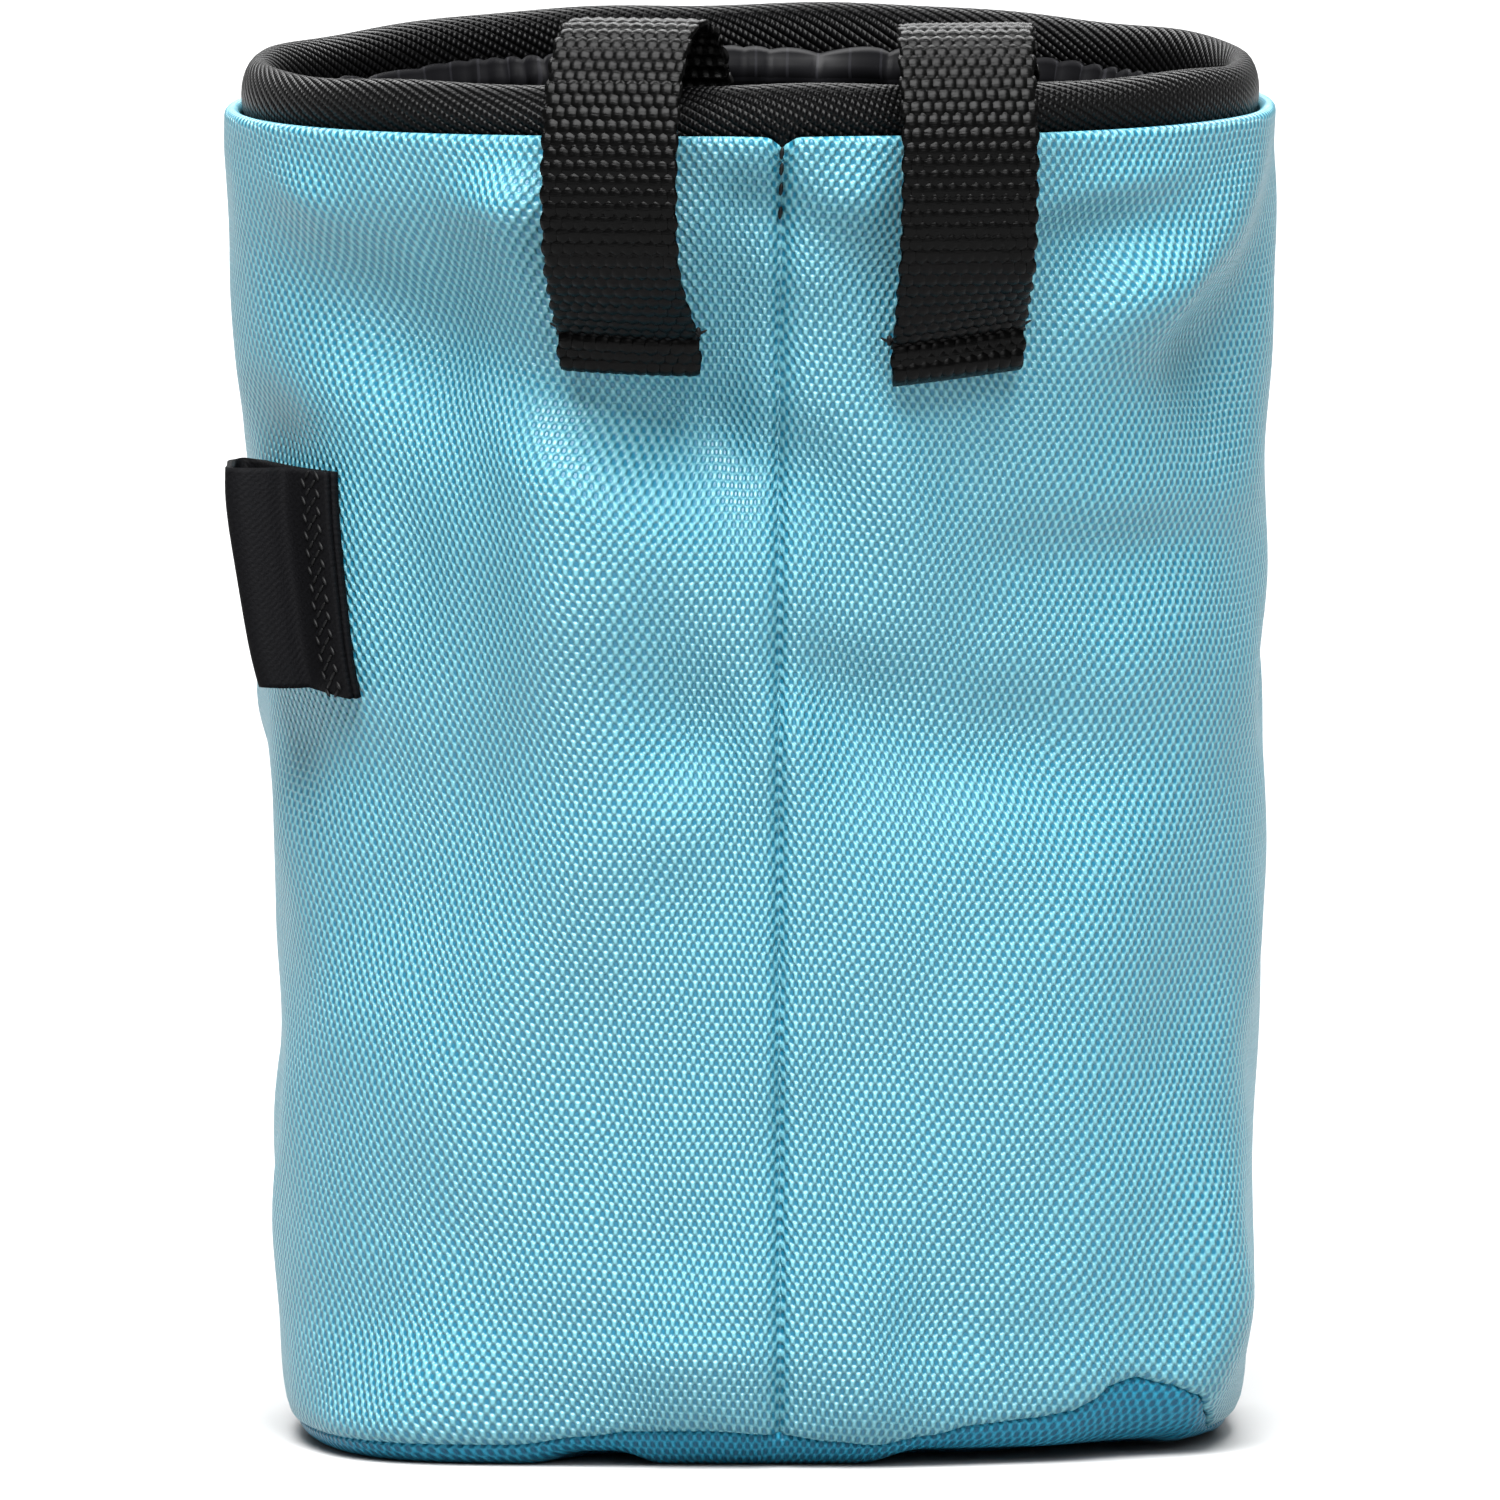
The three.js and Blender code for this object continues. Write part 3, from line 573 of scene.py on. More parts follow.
def srgb(text):
    """Linear colour from a hex code."""
    values = [int(text[i : i + 2], 16) / 255 for i in (0, 2, 4)]
    return [v / 12.92 if v <= 0.04045 else ((v + 0.055) / 1.055) ** 2.4 for v in values] + [1.0]


def add(tree, kind, inputs=None, **settings):
    """Adds one node, with its settings, values and links."""
    node = tree.nodes.new(kind)
    for name, value in settings.items():
        setattr(node, name, value)
    for socket, value in (inputs or {}).items():
        if isinstance(value, bpy.types.NodeSocket):
            tree.links.new(value, node.inputs[socket])
        else:
            node.inputs[socket].default_value = value
    return node


def new_finish(name, colour, roughness, specular):
    material = bpy.data.materials.new(name)
    material.use_nodes = True
    tree = material.node_tree
    shader = tree.nodes["Principled BSDF"]
    shader.inputs["Base Color"].default_value = srgb(colour)
    shader.inputs["Roughness"].default_value = roughness
    shader.inputs["Specular IOR Level"].default_value = specular
    return material, tree, shader


def blue_polyester(name, knob, deep, specular):
    """Heavy textured polyester in plain weave. Its warp yarns stand up as round knobs 1.24 mm apart,
    in rows 0.95 mm apart that are offset by half, and catch small soft highlights. The weft lies
    deeper between them. Its colour is painted shade: one dye, darker in the gaps between the knobs."""
    knobs_apart, rows_apart = 1.24, 0.95
    material, tree, shader = new_finish(name, knob, 0.38, specular)
    cloth = add(tree, "ShaderNodeUVMap", uv_map="cloth")
    drift = add(tree, "ShaderNodeTexNoise", {"Vector": cloth.outputs[0], "Scale": 0.09, "Detail": 1.5})
    shift = add(tree, "ShaderNodeVectorMath", {0: drift.outputs["Color"], 1: (1.4, 1.6, 0)},
                operation="MULTIPLY")
    place = add(tree, "ShaderNodeVectorMath", {0: cloth.outputs[0], 1: shift.outputs[0]}, operation="ADD")
    axes = add(tree, "ShaderNodeSeparateXYZ", {0: place.outputs[0]})
    warp = add(tree, "ShaderNodeMath", {0: axes.outputs[0], 1: 2 * math.pi / knobs_apart},
               operation="MULTIPLY")
    weft = add(tree, "ShaderNodeMath", {0: axes.outputs[1], 1: math.pi / rows_apart},
               operation="MULTIPLY")
    warp_wave = add(tree, "ShaderNodeMath", {0: warp.outputs[0]}, operation="COSINE")
    weft_wave = add(tree, "ShaderNodeMath", {0: weft.outputs[0]}, operation="COSINE")
    which = add(tree, "ShaderNodeMath", {0: warp_wave.outputs[0], 1: weft_wave.outputs[0]},
                operation="MULTIPLY")
    height = add(tree, "ShaderNodeMapRange", {0: which.outputs[0], 1: -0.75, 2: 0.8},
                 interpolation_type="SMOOTHSTEP")
    # Painted shade: the ramp runs from the deep colour in the gaps between the knobs to the knob colour on
    # their tops.
    colour = add(tree, "ShaderNodeValToRGB", {0: height.outputs[0]})
    ramp = colour.color_ramp
    ramp.elements[0].position, ramp.elements[0].color = 0.0, srgb(deep)
    ramp.elements[1].position, ramp.elements[1].color = 0.65, srgb(knob)
    tree.links.new(colour.outputs[0], shader.inputs["Base Color"])
    relief = add(tree, "ShaderNodeBump", {"Height": height.outputs[0], "Strength": 1.0,
                                          "Distance": 0.36 * MM})
    tree.links.new(relief.outputs[0], shader.inputs["Normal"])
    return material


def twill_tape():
    """Black polyester tape in twill: slanted ribs 0.85 mm apart with a dull sheen, their grooves painted
    darker as shade. Their beads are drawn a little coarser than real ones, 0.75 mm apart, so that they
    show."""
    ribs_apart, beads_apart = 0.85, 0.75
    material, tree, shader = new_finish("black twill tape", "060607", 0.34, 0.09)
    cloth = add(tree, "ShaderNodeUVMap", uv_map="cloth")
    turned = add(tree, "ShaderNodeMapping", {0: cloth.outputs[0], "Rotation": (0, 0, math.radians(24))})
    axes = add(tree, "ShaderNodeSeparateXYZ", {0: turned.outputs[0]})
    ribs = add(tree, "ShaderNodeMath", {0: axes.outputs[1], 1: math.pi / ribs_apart},
               operation="MULTIPLY")
    rib_wave = add(tree, "ShaderNodeMath", {0: ribs.outputs[0]}, operation="SINE")
    rib = add(tree, "ShaderNodeMath", {0: rib_wave.outputs[0]}, operation="ABSOLUTE")
    beads = add(tree, "ShaderNodeMath", {0: axes.outputs[0], 1: 2 * math.pi / beads_apart},
                operation="MULTIPLY")
    bead = add(tree, "ShaderNodeMath", {0: beads.outputs[0]}, operation="SINE")
    bead_low = add(tree, "ShaderNodeMath", {0: bead.outputs[0], 1: 0.3, 2: 0.7}, operation="MULTIPLY_ADD")
    height = add(tree, "ShaderNodeMath", {0: rib.outputs[0], 1: bead_low.outputs[0]}, operation="MULTIPLY")
    # Painted shade: the grooves between the ribs and beads are darker than their tops.
    colour = add(tree, "ShaderNodeMix", {0: height.outputs[0], 6: srgb("010101"), 7: srgb("070708")},
                 data_type="RGBA")
    tree.links.new(colour.outputs[2], shader.inputs["Base Color"])
    relief = add(tree, "ShaderNodeBump", {"Height": height.outputs[0], "Strength": 0.9,
                                          "Distance": 0.3 * MM})
    tree.links.new(relief.outputs[0], shader.inputs["Normal"])
    return material


def ripstop_nylon():
    """Thin charcoal ripstop: a smooth close weave with a doubled yarn every 5.3 mm each way, seen
    as a faint grid on a soft dark gloss."""
    yarns_apart, half_yarn = 5.3, 0.045
    material, tree, shader = new_finish("charcoal ripstop nylon", "0E0E10", 0.45, 0.12)
    cloth = add(tree, "ShaderNodeUVMap", uv_map="cloth")
    axes = add(tree, "ShaderNodeSeparateXYZ", {0: cloth.outputs[0]})
    lines = []
    for axis in (0, 1):
        turns = add(tree, "ShaderNodeMath", {0: axes.outputs[axis], 1: yarns_apart}, operation="DIVIDE")
        part = add(tree, "ShaderNodeMath", {0: turns.outputs[0]}, operation="FRACT")
        yarn = add(tree, "ShaderNodeMath", {0: part.outputs[0], 1: 0.5, 2: half_yarn},
                   operation="COMPARE")
        lines.append(yarn.outputs[0])
    grid = add(tree, "ShaderNodeMath", {0: lines[0], 1: lines[1]}, operation="MAXIMUM")
    colour = add(tree, "ShaderNodeMix", {0: grid.outputs[0], 6: srgb("0E0E10"), 7: srgb("1B1B1E")},
                 data_type="RGBA")
    tree.links.new(colour.outputs[2], shader.inputs["Base Color"])
    relief = add(tree, "ShaderNodeBump", {"Height": grid.outputs[0], "Strength": 0.5,
                                          "Distance": 0.12 * MM})
    tree.links.new(relief.outputs[0], shader.inputs["Normal"])
    return material


def nylon_webbing():
    """Black nylon webbing. The ribs are in the mesh, and filaments about 0.1 mm thick give it a
    silky gloss."""
    material, tree, shader = new_finish("black nylon webbing", "030303", 0.26, 0.07)
    cloth = add(tree, "ShaderNodeUVMap", uv_map="cloth")
    filaments = add(tree, "ShaderNodeMapping", {0: cloth.outputs[0], "Scale": (2.0, 9.0, 1)})
    fine = add(tree, "ShaderNodeTexNoise", {"Vector": filaments.outputs[0], "Scale": 1.0, "Detail": 3.0})
    relief = add(tree, "ShaderNodeBump", {"Height": fine.outputs["Fac"], "Strength": 0.6,
                                          "Distance": 0.12 * MM})
    tree.links.new(relief.outputs[0], shader.inputs["Normal"])
    return material


def woven_elastic():
    """Matte black elastic: a faint slanting weave 0.7 mm apart under fuzz that swallows the light, with
    painted shade in its low places.
    """
    weave_apart = 0.7
    material, tree, shader = new_finish("black woven elastic", "0B0B0D", 0.7, 0.06)
    cloth = add(tree, "ShaderNodeUVMap", uv_map="cloth")
    turned = add(tree, "ShaderNodeMapping", {0: cloth.outputs[0], "Rotation": (0, 0, math.radians(-35))})
    axes = add(tree, "ShaderNodeSeparateXYZ", {0: turned.outputs[0]})
    ribs = add(tree, "ShaderNodeMath", {0: axes.outputs[1], 1: 2 * math.pi / weave_apart},
               operation="MULTIPLY")
    wave = add(tree, "ShaderNodeMath", {0: ribs.outputs[0]}, operation="SINE")
    fuzz = add(tree, "ShaderNodeTexNoise", {"Vector": cloth.outputs[0], "Scale": 2.6, "Detail": 3.0})
    height = add(tree, "ShaderNodeMath", {0: wave.outputs[0], 1: 0.1, 2: fuzz.outputs["Fac"]},
                 operation="MULTIPLY_ADD")
    # Painted shade: the colour follows the relief, darker where the weave and the fuzz lie low.
    colour = add(tree, "ShaderNodeMix", {0: height.outputs[0], 6: srgb("020203"), 7: srgb("0C0C0E")},
                 data_type="RGBA")
    tree.links.new(colour.outputs[2], shader.inputs["Base Color"])
    relief = add(tree, "ShaderNodeBump", {"Height": height.outputs[0], "Strength": 0.7,
                                          "Distance": 0.15 * MM})
    tree.links.new(relief.outputs[0], shader.inputs["Normal"])
    return material


def sewing_thread():
    """Black bonded nylon thread, slightly waxy, so that each stitch has a small soft light."""
    return new_finish("black sewing thread", "0A0A0B", 0.5, 0.15)[0]


# The second colour of each blue is the painted shade in the gaps between its knobs.
BLUE = blue_polyester("blue textured polyester", "5D99A5", "0E617C", 0.55)
TAPE = twill_tape()
RIPSTOP = ripstop_nylon()
WEBBING = nylon_webbing()
ELASTIC = woven_elastic()
THREAD = sewing_thread()
BASE_BLUE = blue_polyester("blue textured polyester, base", "227F9C", "0A4B66", 0.2)


# The pieces


def grain_drop(angle):
    """How far the rows have sunk at an angle, in millimetres, counted from the seam."""
    steps = np.linspace(-180, 180, 721)
    slope = np.interp(steps, column(GRAIN, "around"), column(GRAIN, "slope"))
    sunk = np.concatenate([[0], np.cumsum((slope[1:] + slope[:-1]) / 2)])
    drop = sunk * round_bag(steps[1] - steps[0])
    drop -= np.interp(SEAM_ANGLE, steps, drop)
    return np.interp(turn_between(0, angle), steps, drop)


def panel_angles():
    """Stations round the bag from seam to seam, closer together beside the seam."""
    near = np.array([0, 0.25, 0.5, 0.8, 1.2, 1.7, 2.4, 3.2])
    middle = np.linspace(4.2, 355.8, 268)
    return SEAM_ANGLE + np.concatenate([near, middle, 360 - near[::-1]])


def wrapped_panel():
    """The body panel: one sheet from seam to seam, with its top edge rolled over to the inside and
    its lower edge rolled in above the base."""
    angle = panel_angles()
    hem, roll, foot, turned_in = 8, 1.0, 0.8, 2.5
    groove_depth, puff_height, puff_away, puff_half = 1.5 * SEAM_DEPTH, 0.45, 3.4, 2.2
    notch_depth, notch_half, notch_reach = 1.3, 1.2, 3
    rows = [("hem", share) for share in (0.0, 0.5)]
    rows += [("roll", share) for share in np.linspace(0, 1, 8)]
    rows += [("wall", share) for share in np.linspace(0, 1, 132)[1:-1]]
    rows += [("foot", share) for share in np.linspace(0, 1, 6)]
    rows.append(("turned in", 1.0))
    bottom = base_seam(angle) + foot
    top = PANEL_TOP - roll
    away = np.abs(round_bag(turn_between(SEAM_ANGLE, angle)))
    groove = groove_depth * np.exp(-((away / SEAM_HALF_WIDTH) ** 2))
    puff = puff_height * np.exp(-(((away - puff_away) / puff_half) ** 2))
    notch = notch_depth * np.exp(-((away / notch_half) ** 2))
    places, cloth = [], []
    for kind, share in rows:
        inset = np.zeros_like(angle)
        if kind == "hem":
            height = np.full_like(angle, mix(top - hem, top, share))
            inset += 2 * roll
        elif kind == "roll":
            height = np.full_like(angle, top + roll * math.sin(share * math.pi))
            inset += roll * (1 + math.cos(share * math.pi))
        elif kind == "wall":
            height = mix(np.full_like(angle, top), bottom, share)
        elif kind == "foot":
            height = bottom - foot * math.sin(share * math.pi)
            inset += foot * (1 - math.cos(share * math.pi))
        else:
            height = bottom + turned_in
            inset += 2 * foot
        up = height / PANEL_TOP
        deeper_at_rim = 1 + 0.8 * smooth((up - 0.93) / 0.07)
        radius = cloth_radius(angle, up) - inset + (puff - groove) * deeper_at_rim
        drop = notch * smooth((height - top + notch_reach) / notch_reach)
        places.append(on_bag(angle, radius, height - drop))
        cloth.append(np.stack([round_bag(angle), height + grain_drop(angle)], axis=-1))
    mesh = cloth_grid(np.stack(places, axis=1), np.stack(cloth, axis=1), WELD)
    turn_out(mesh, (0, 0, 80))
    panel = finished("wrapped_panel", mesh, BLUE, "body_panel")
    thicken(panel, PANEL_CLOTH, -1)


def turned_base():
    """The base: a flat floor turned up at its edge to the seam, seen as a band under the panel."""
    angle = np.linspace(0, 360, 301)
    tuck_in, tuck_up, band_out, rounding, band_rows = 1.2, 2.0, 0.6, 1.25, 14
    lift = base_seam(angle) - PIECE_GAP
    lean = BASE_UNDERCUT * (0.5 + lift / BASE_TURN)
    foot, seam = panel_radius(angle, lift / PANEL_TOP), cloth_radius(angle, lift / PANEL_TOP)
    arch = np.zeros_like(angle)
    for spot in ARCHES:
        away = np.abs(turn_between(spot.around, angle))
        arch = np.maximum(arch, spot.rise * (1 - smooth((away - spot.flat) / spot.fade)))
    rows = [(seam - BASE_TUCK - tuck_in, lift + tuck_up)]
    for share in np.linspace(0, 1, band_rows):
        turn = share * math.pi / 2
        inset = BASE_TUCK - band_out + lean * (1 - math.cos(turn)) * rounding
        rows.append((mix(seam, foot, share) - inset, arch + (lift - arch) * (1 - math.sin(turn))))
    edge = rows[-1][0]
    for share in np.linspace(0, 1, 20)[1:]:
        rows.append((mix(edge, 0, share), arch * (1 - smooth(share * 4))))
    places = np.stack([points_at(angle, radius, height) for radius, height in rows], axis=1)
    cloth = places[:, :, :2].copy()
    cloth[:, :, 1] += places[:, :, 2]
    band = slice(0, band_rows + 1)
    cloth[:, band, 0] = round_bag(angle)[:, None]
    cloth[:, band, 1] = places[:, band, 2]
    mesh = cloth_grid(places, cloth, WELD)
    turn_out(mesh, (0, 0, 30))
    base = finished("turned_base", mesh, BASE_BLUE, "base_panel")
    thicken(base, BASE_CLOTH, -1)


def padded_binding():
    """The rim: twill tape round a soft core, an oval ring that wavers a little."""
    angle = np.linspace(0, 360, 321)
    turn = np.linspace(0, 360, 29)
    tape_girth = 21.5
    inset = PANEL_WALL + BINDING_CLEARANCE + BINDING_THICKNESS / 2
    middle = BAG_HEIGHT - BINDING_HEIGHT / 2
    around, across = np.meshgrid(angle, turn, indexing="ij")
    waver = 0.18 * np.sin(np.radians(around * 7 + 40)) + 0.12 * np.sin(np.radians(around * 13))
    out = np.cos(np.radians(across)) * BINDING_THICKNESS / 2
    rise = np.sin(np.radians(across)) * (BINDING_HEIGHT / 2 + waver)
    places = on_bag(around, panel_radius(around, 1.0) - inset + out, middle + rise)
    cloth = np.stack([round_bag(around), across / 360 * tape_girth], axis=-1)
    mesh = cloth_grid(places, cloth, WELD)
    bmesh.ops.recalc_face_normals(mesh, faces=mesh.faces)
    ring = finished("padded_binding", mesh, TAPE, "rim_binding")


def gathers(angle, up):
    """Depth of the lining's gathers, in millimetres: close pleats at the binding, broad below."""
    pleat_depth, ripple_depth = 2.0, 0.9
    turn = np.radians(angle)
    uneven = 2.6 * np.sin(5 * turn + 1) + 1.7 * np.sin(11 * turn + 2)
    pleat = 1 - np.abs(np.cos(45 * turn + uneven)) ** 0.6
    size = 0.65 + 0.35 * np.sin(9 * turn + 0.6)
    ripple = 0.6 * np.cos(13 * turn + 1) + 0.4 * np.cos(17 * turn + 2.3)
    close = pleat_depth * pleat * size * smooth((up - 0.62) / 0.36)
    return close + ripple_depth * (0.5 - 0.5 * ripple) * mix(0.35, 1, up * up)


def gathered_lining():
    """The inner sack of thin ripstop, sewn to the inside of the ring, pleated where it hangs from
    it and slack below."""
    top = BAG_HEIGHT - LINING_SHOWS_BELOW
    under_ring = BAG_HEIGHT - BINDING_HEIGHT
    floor = BASE_WALL + LINING_FLOOR_GAP + LINING_WALL
    angle = np.linspace(0, 360, 601)
    fullness, floor_rows_apart, puff_depth = 1.2, 4.0, 1.2
    on_ring = PANEL_WALL + BINDING_CLEARANCE + BINDING_THICKNESS + PIECE_GAP
    run = round_bag(angle) * fullness
    places, cloth = [], []
    heights = np.concatenate([np.linspace(top, top - 24, 30), np.linspace(top - 26.5, floor, 30)])
    for height in heights:
        up = height / PANEL_TOP
        deep = gathers(angle, up)
        hanging = PANEL_WALL + LINING_SLACK + LINING_WALL + deep
        on = smooth((height - under_ring + 2.5) / 3.5)
        puff = puff_depth * np.exp(-(((height - under_ring + 0.5) / 2.5) ** 2))
        corner = 1 - smooth((height - floor) / (2 * LINING_CORNER))
        inset = mix(hanging, on_ring + 0.35 * deep, on) + puff * deep / 2 + LINING_CORNER * corner**2
        scallop = 0.45 * deep * smooth((height - top + 2) / 2)
        places.append(on_bag(angle, cloth_radius(angle, np.minimum(up, 1)) - inset, height - scallop))
        cloth.append(np.stack([run, np.full_like(angle, height)], axis=-1))
    last = cloth_radius(angle, floor / PANEL_TOP) - inset
    for i, share in enumerate(np.linspace(1, 0, 12)[1:]):
        places.append(points_at(angle, last * share, floor))
        cloth.append(np.stack([run, np.full_like(angle, -floor_rows_apart * i)], axis=-1))
    mesh = cloth_grid(np.stack(places, axis=1), np.stack(cloth, axis=1), WELD)
    turn_out(mesh, (0, 0, 80))
    sack = finished("gathered_lining", mesh, RIPSTOP, "lining")
    thicken(sack, LINING_CLOTH, 1)


def wall_distance(loop, height, lateral):
    """Distance from the axis to the panel, along the direction that a belt loop faces."""
    up = np.minimum(height, PANEL_TOP) / PANEL_TOP
    distance = np.full(np.broadcast(height, lateral).shape, BASE_DEPTH / 2)
    for _ in range(6):
        angle = loop.turn + np.degrees(np.arctan2(lateral, distance))
        distance = np.sqrt(cloth_radius(angle, up) ** 2 - lateral**2)
    return distance


def strap_line(loop, count):
    """Middle line of a belt loop as lateral, outward and height, with its length. It starts inside
    the folded lower edge of the tab."""
    turn = math.radians(loop.turn)
    sideward = np.array([math.cos(turn), math.sin(turn), 0])
    bottom, arch = PANEL_TOP - TAB_DROP - loop.lower, BAG_HEIGHT + ARCH_RISE - loop.lower
    half = WEBBING_THICKNESS / 2
    on_wall = TAB_GAP + half
    inside = PANEL_WALL + BINDING_CLEARANCE + BINDING_THICKNESS + INNER_CLEARANCE + half
    tab = points_at(loop.around, panel_radius(loop.around, bottom / PANEL_TOP), 0.0) @ sideward
    knots = []

    def add_knot(height, out, sway):
        lateral = tab + sway * LOOP_SWAY
        side = WEBBING_WIDTH / 2
        middle = wall_distance(loop, height, lateral)
        edges = min(wall_distance(loop, height, lateral + way) for way in (-side, side))
        reach = mix(on_wall, LOOP_STAND_OFF, out) if out > 0 else mix(on_wall, -inside, -out)
        wall = middle if out > 0 else mix(middle, edges, min(-out, 1))
        knots.append([lateral, float(wall + reach), height])

    for row in STRAP_LINE:
        add_knot(mix(bottom, arch, row.up), row.out, row.sway)
    end = BAG_HEIGHT - BINDING_HEIGHT - INNER_DROP
    add_knot(mix(knots[-1][2], end, 0.45), -1, 1)
    add_knot(end, -1, 1)
    return smooth_line(knots, count), bottom


def belt_loop(side, node, loop):
    """Webbing with its ribs in the mesh, knotted across in turn from rib to rib. Its end is folded
    under and sewn down with a row of heavy slanted stitches."""
    count, columns = 460, 69
    edge_in, rib_out, rib_low, knot_high = 0.12, 0.18, 0.24, 0.30
    (line, length), bottom = strap_line(loop, count)
    along = np.gradient(line, axis=0)
    along /= np.linalg.norm(along, axis=1)[:, None]
    run = np.linspace(0, length, count)
    lean = math.tan(math.radians(loop.tilt))
    outside = line[:, 1] > wall_distance(loop, line[:, 2], line[:, 0])
    free = smooth((line[:, 2] - bottom - TAB_HEIGHT) / TAB_HEIGHT)
    hug = np.where(outside, 1 - free, 0)[:, None]
    rib = np.abs(np.sin(math.pi * run / RIB_PITCH)) ** 0.7
    width = WEBBING_WIDTH / 2 - edge_in + rib_out * rib
    across = np.linspace(-1, 1, columns)
    sidestep = width[:, None] * across[None, :]
    row = np.floor(run / RIB_PITCH)[:, None]
    knot = 0.5 + 0.5 * np.cos(2 * math.pi * (sidestep / KNOT_PITCH + 0.5 * np.mod(row, 2)))
    selvedge = 1 - 0.35 * np.abs(across[None, :]) ** 12
    relief = rib[:, None] * (rib_low + knot_high * knot) * selvedge
    folded = 0.75 * (1 - smooth((run - FOLDED_END) / 1.1)) - 1.1 * (1 - smooth(run / 0.9)) ** 2
    sewn = -0.35 * np.exp(-(((run - TACK_LINE) / 0.7) ** 2))
    surface = relief - RIB_HEIGHT + WEBBING_THICKNESS / 2 + (folded + sewn)[:, None]
    out_step, up_step = -along[:, 2], along[:, 1]
    scale = np.sqrt(out_step**2 + up_step**2)
    out_step, up_step = out_step / scale, up_step / scale
    side_of = -1 if out_step[0] < 0 else 1
    height = line[:, 2][:, None] + hug * sidestep * lean
    lateral = line[:, 0][:, None] + sidestep
    curve = wall_distance(loop, height, lateral) - wall_distance(loop, line[:, 2], line[:, 0])[:, None]
    out = line[:, 1][:, None] + hug * curve + side_of * out_step[:, None] * surface
    height = height + side_of * up_step[:, None] * surface
    turn = math.radians(loop.turn)
    sideward = np.array([math.cos(turn), math.sin(turn), 0])
    outward = np.array([math.sin(turn), -math.cos(turn), 0])
    places = out[:, :, None] * outward + lateral[:, :, None] * sideward
    places[:, :, 2] = height
    cloth = np.stack([sidestep, np.broadcast_to(run[:, None], sidestep.shape)], axis=-1)
    mesh = cloth_grid(places, cloth)
    turn_out(mesh, loop.within)
    strap = finished(f"belt_loop_webbing_{side}", mesh, WEBBING, node)
    thicken(strap, WEBBING_BODY, -1)

    sewn_row = places[np.searchsorted(run, TACK_LINE)]
    stitches = []
    for i in range(TACK_STITCHES):
        spot = round(mix(2, columns - 3, i / (TACK_STITCHES - 1)))
        slant = sideward + (0, 0, 0.42 if i % 2 else -0.18)
        stitches.append(Stitch(sewn_row[spot] + outward * 0.25, slant, outward, length=1.9, thickness=0.62))
    for edge, beyond in ((sewn_row[0], -sideward), (sewn_row[-1], sideward)):
        turned, loose_end = (0, 0, 1), beyond + (0, 0, 0.5)
        stitches.append(Stitch(edge + beyond * 0.3, turned, outward, length=1.5, thickness=0.8))
        stitches.append(Stitch(edge + beyond * 0.7, loose_end, outward, length=1.7, thickness=0.4))
    sew(f"bar_tack_{side}", stitches)


def brush_angle(along, foot):
    """Angle of a place along the brush loop, which is shorter at its foot and leans there."""
    place = along * mix(1, BRUSH_FOOT_LENGTH, foot) - BRUSH_LOOP_LEAN * foot
    return BRUSH_LOOP_ANGLE - np.degrees(place / MEAN_RADIUS)


def brush_band():
    """The elastic brush loop, one band folded back on itself and sewn down with two rows of short
    crossed stitches."""
    count, levels = 150, 44
    knots = [[p.along * BRUSH_LOOP_LENGTH, p.out * BRUSH_LOOP_BULGE, p.ply] for p in BRUSH_LINE]
    line, length = smooth_line(knots, count)
    share = np.linspace(0, 1, levels)[None, :]
    spread = mix(BRUSH_LOOP_CLOSING, 1, share)
    out = PIECE_GAP + ELASTIC_THICKNESS * (0.5 + line[:, 2][:, None]) + line[:, 1][:, None] * spread
    row = line[:, :1] / BRUSH_LOOP_LENGTH
    foot = 1 - share
    angle = brush_angle(line[:, :1], foot)
    height = BRUSH_LOOP_TOP - (ELASTIC_HEIGHT - BRUSH_FOOT_RISE * row) * foot
    places = points_at(angle, cloth_radius(angle, height / PANEL_TOP) + out, height)
    run = np.broadcast_to(np.linspace(0, length, count)[:, None], angle.shape)
    cloth = np.stack([run, height], axis=-1)
    mesh = cloth_grid(places, cloth)
    band = finished("brush_band", mesh, ELASTIC, "brush_loop")
    thicken(band, ELASTIC_THICKNESS, 0)

    on_band = PIECE_GAP + 2 * ELASTIC_THICKNESS + 0.12
    stitches = []
    for i in range(BRUSH_STITCHES):
        foot = (i + 0.5) / BRUSH_STITCHES
        height = BRUSH_LOOP_TOP - ELASTIC_HEIGHT * foot
        way = 1 if i % 2 else -1
        for along, slant in ((1.6, 0.9), (3.4, -0.9)):
            angle = brush_angle(along + way * 0.4, foot)
            middle = points_at(angle, cloth_radius(angle, height / PANEL_TOP) + on_band, height)
            crossed = points_at(angle + 90, slant * way, 0) + (0, 0, 1)
            outward = points_at(angle, 1, 0)
            stitches.append(Stitch(middle, crossed, outward, length=1.5, thickness=0.45))
    sew("brush_loop_stitches", stitches)


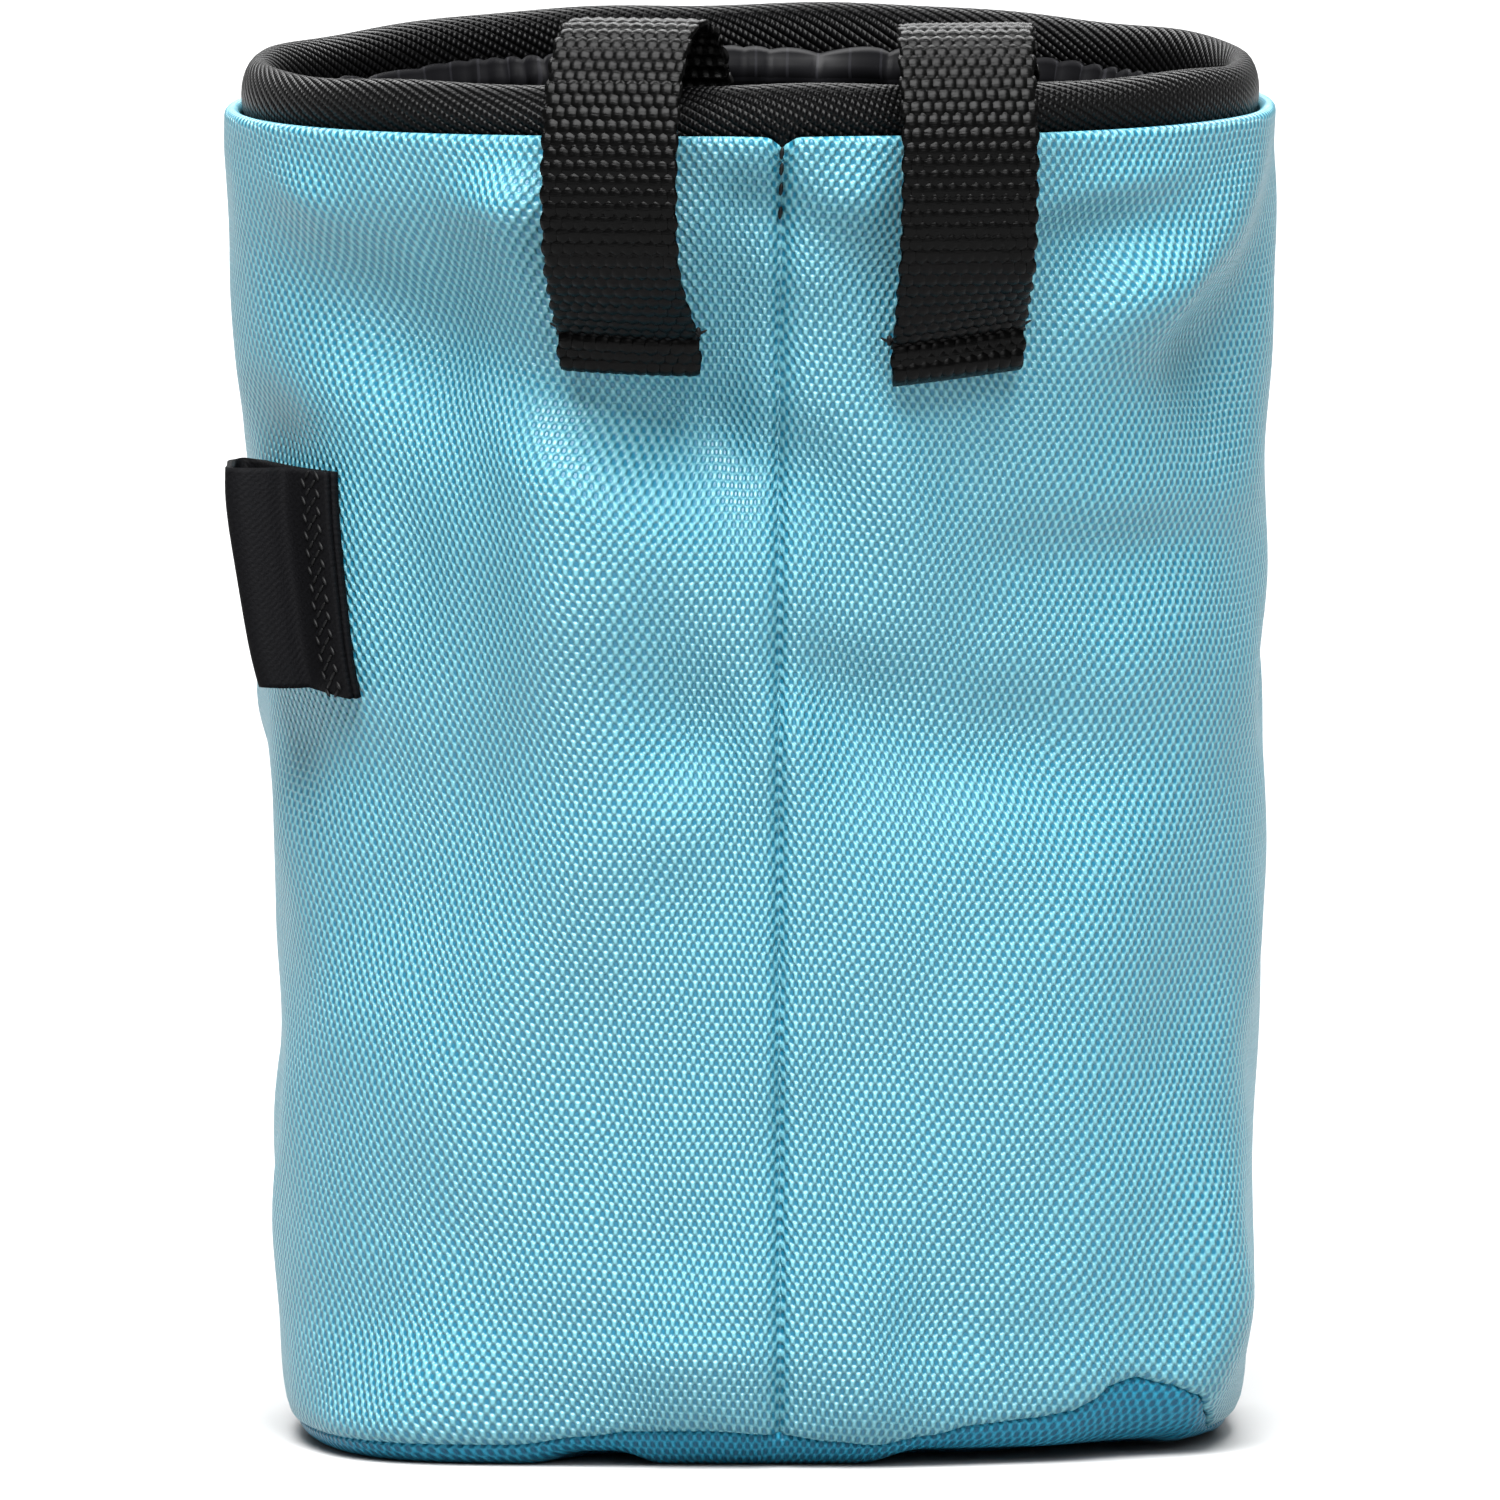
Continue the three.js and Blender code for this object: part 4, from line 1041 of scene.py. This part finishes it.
def seam_stitches():
    """Four black stitches that show in the seam under the rim."""
    stitches = []
    outward = points_at(SEAM_ANGLE, 1, 0)
    for height in SEAM_STITCH_HEIGHTS:
        radius = cloth_radius(SEAM_ANGLE, height / PANEL_TOP) - SEAM_DEPTH + 0.1
        middle = points_at(SEAM_ANGLE - 0.1, radius, height)
        stitches.append(Stitch(middle, (0.12, 0, 1), outward, length=1.7, thickness=0.6))
    sew("seam_stitches", stitches)


def long_lens():
    """The photograph's view, from 5.5 degrees above level."""
    away, tilt = 5.163, math.radians(5.5)
    aim = Vector((-1.36 * MM, 0, 84.0 * MM))
    data = bpy.data.cameras.new("camera")
    data.lens, data.sensor_width = 1000.0, 36.0
    data.clip_start, data.clip_end = 0.1, 50
    camera = bpy.data.objects.new("camera", data)
    back = Vector((0, -math.cos(tilt), math.sin(tilt)))
    camera.location = aim + back * away
    camera.rotation_mode = "QUATERNION"
    camera.rotation_quaternion = (-back).to_track_quat("-Z", "Y")
    bpy.context.scene.collection.objects.link(camera)
    bpy.context.scene.camera = camera


def studio_light():
    """Soft white light from high above, a little from the front and a pale room."""
    for row in LAMPS:
        light = bpy.data.lights.new(row.name, "AREA")
        light.energy, light.size = row.power, row.size
        lamp = bpy.data.objects.new(row.name, light)
        lamp.location = row.place
        way = Vector(row.aim) - Vector(row.place)
        lamp.rotation_euler = way.to_track_quat("-Z", "Y").to_euler()
        bpy.context.scene.collection.objects.link(lamp)

    world = bpy.data.worlds.new("studio")
    bpy.context.scene.world = world
    world.use_nodes = True
    background = world.node_tree.nodes["Background"]
    background.inputs[0].default_value = (1, 1, 1, 1)
    background.inputs[1].default_value = 0.23
    bpy.context.scene.view_settings.view_transform = "Standard"


def studio_floor():
    """A matt pale floor, from which some light comes back up the cloth."""
    mesh = bmesh.new()
    bmesh.ops.create_grid(mesh, x_segments=1, y_segments=1, size=4)
    data = bpy.data.meshes.new("floor")
    mesh.to_mesh(data)
    mesh.free()
    data.materials.append(new_finish("pale floor", "ACACAC", 0.9, 0.0)[0])
    floor = bpy.data.objects.new("floor", data)
    bpy.context.scene.collection.objects.link(floor)


long_lens()
studio_light()
studio_floor()
wrapped_panel()
turned_base()
padded_binding()
gathered_lining()
belt_loop("left", "belt_loop_left", LEFT_LOOP)
belt_loop("right", "belt_loop_right", RIGHT_LOOP)
brush_band()
seam_stitches()
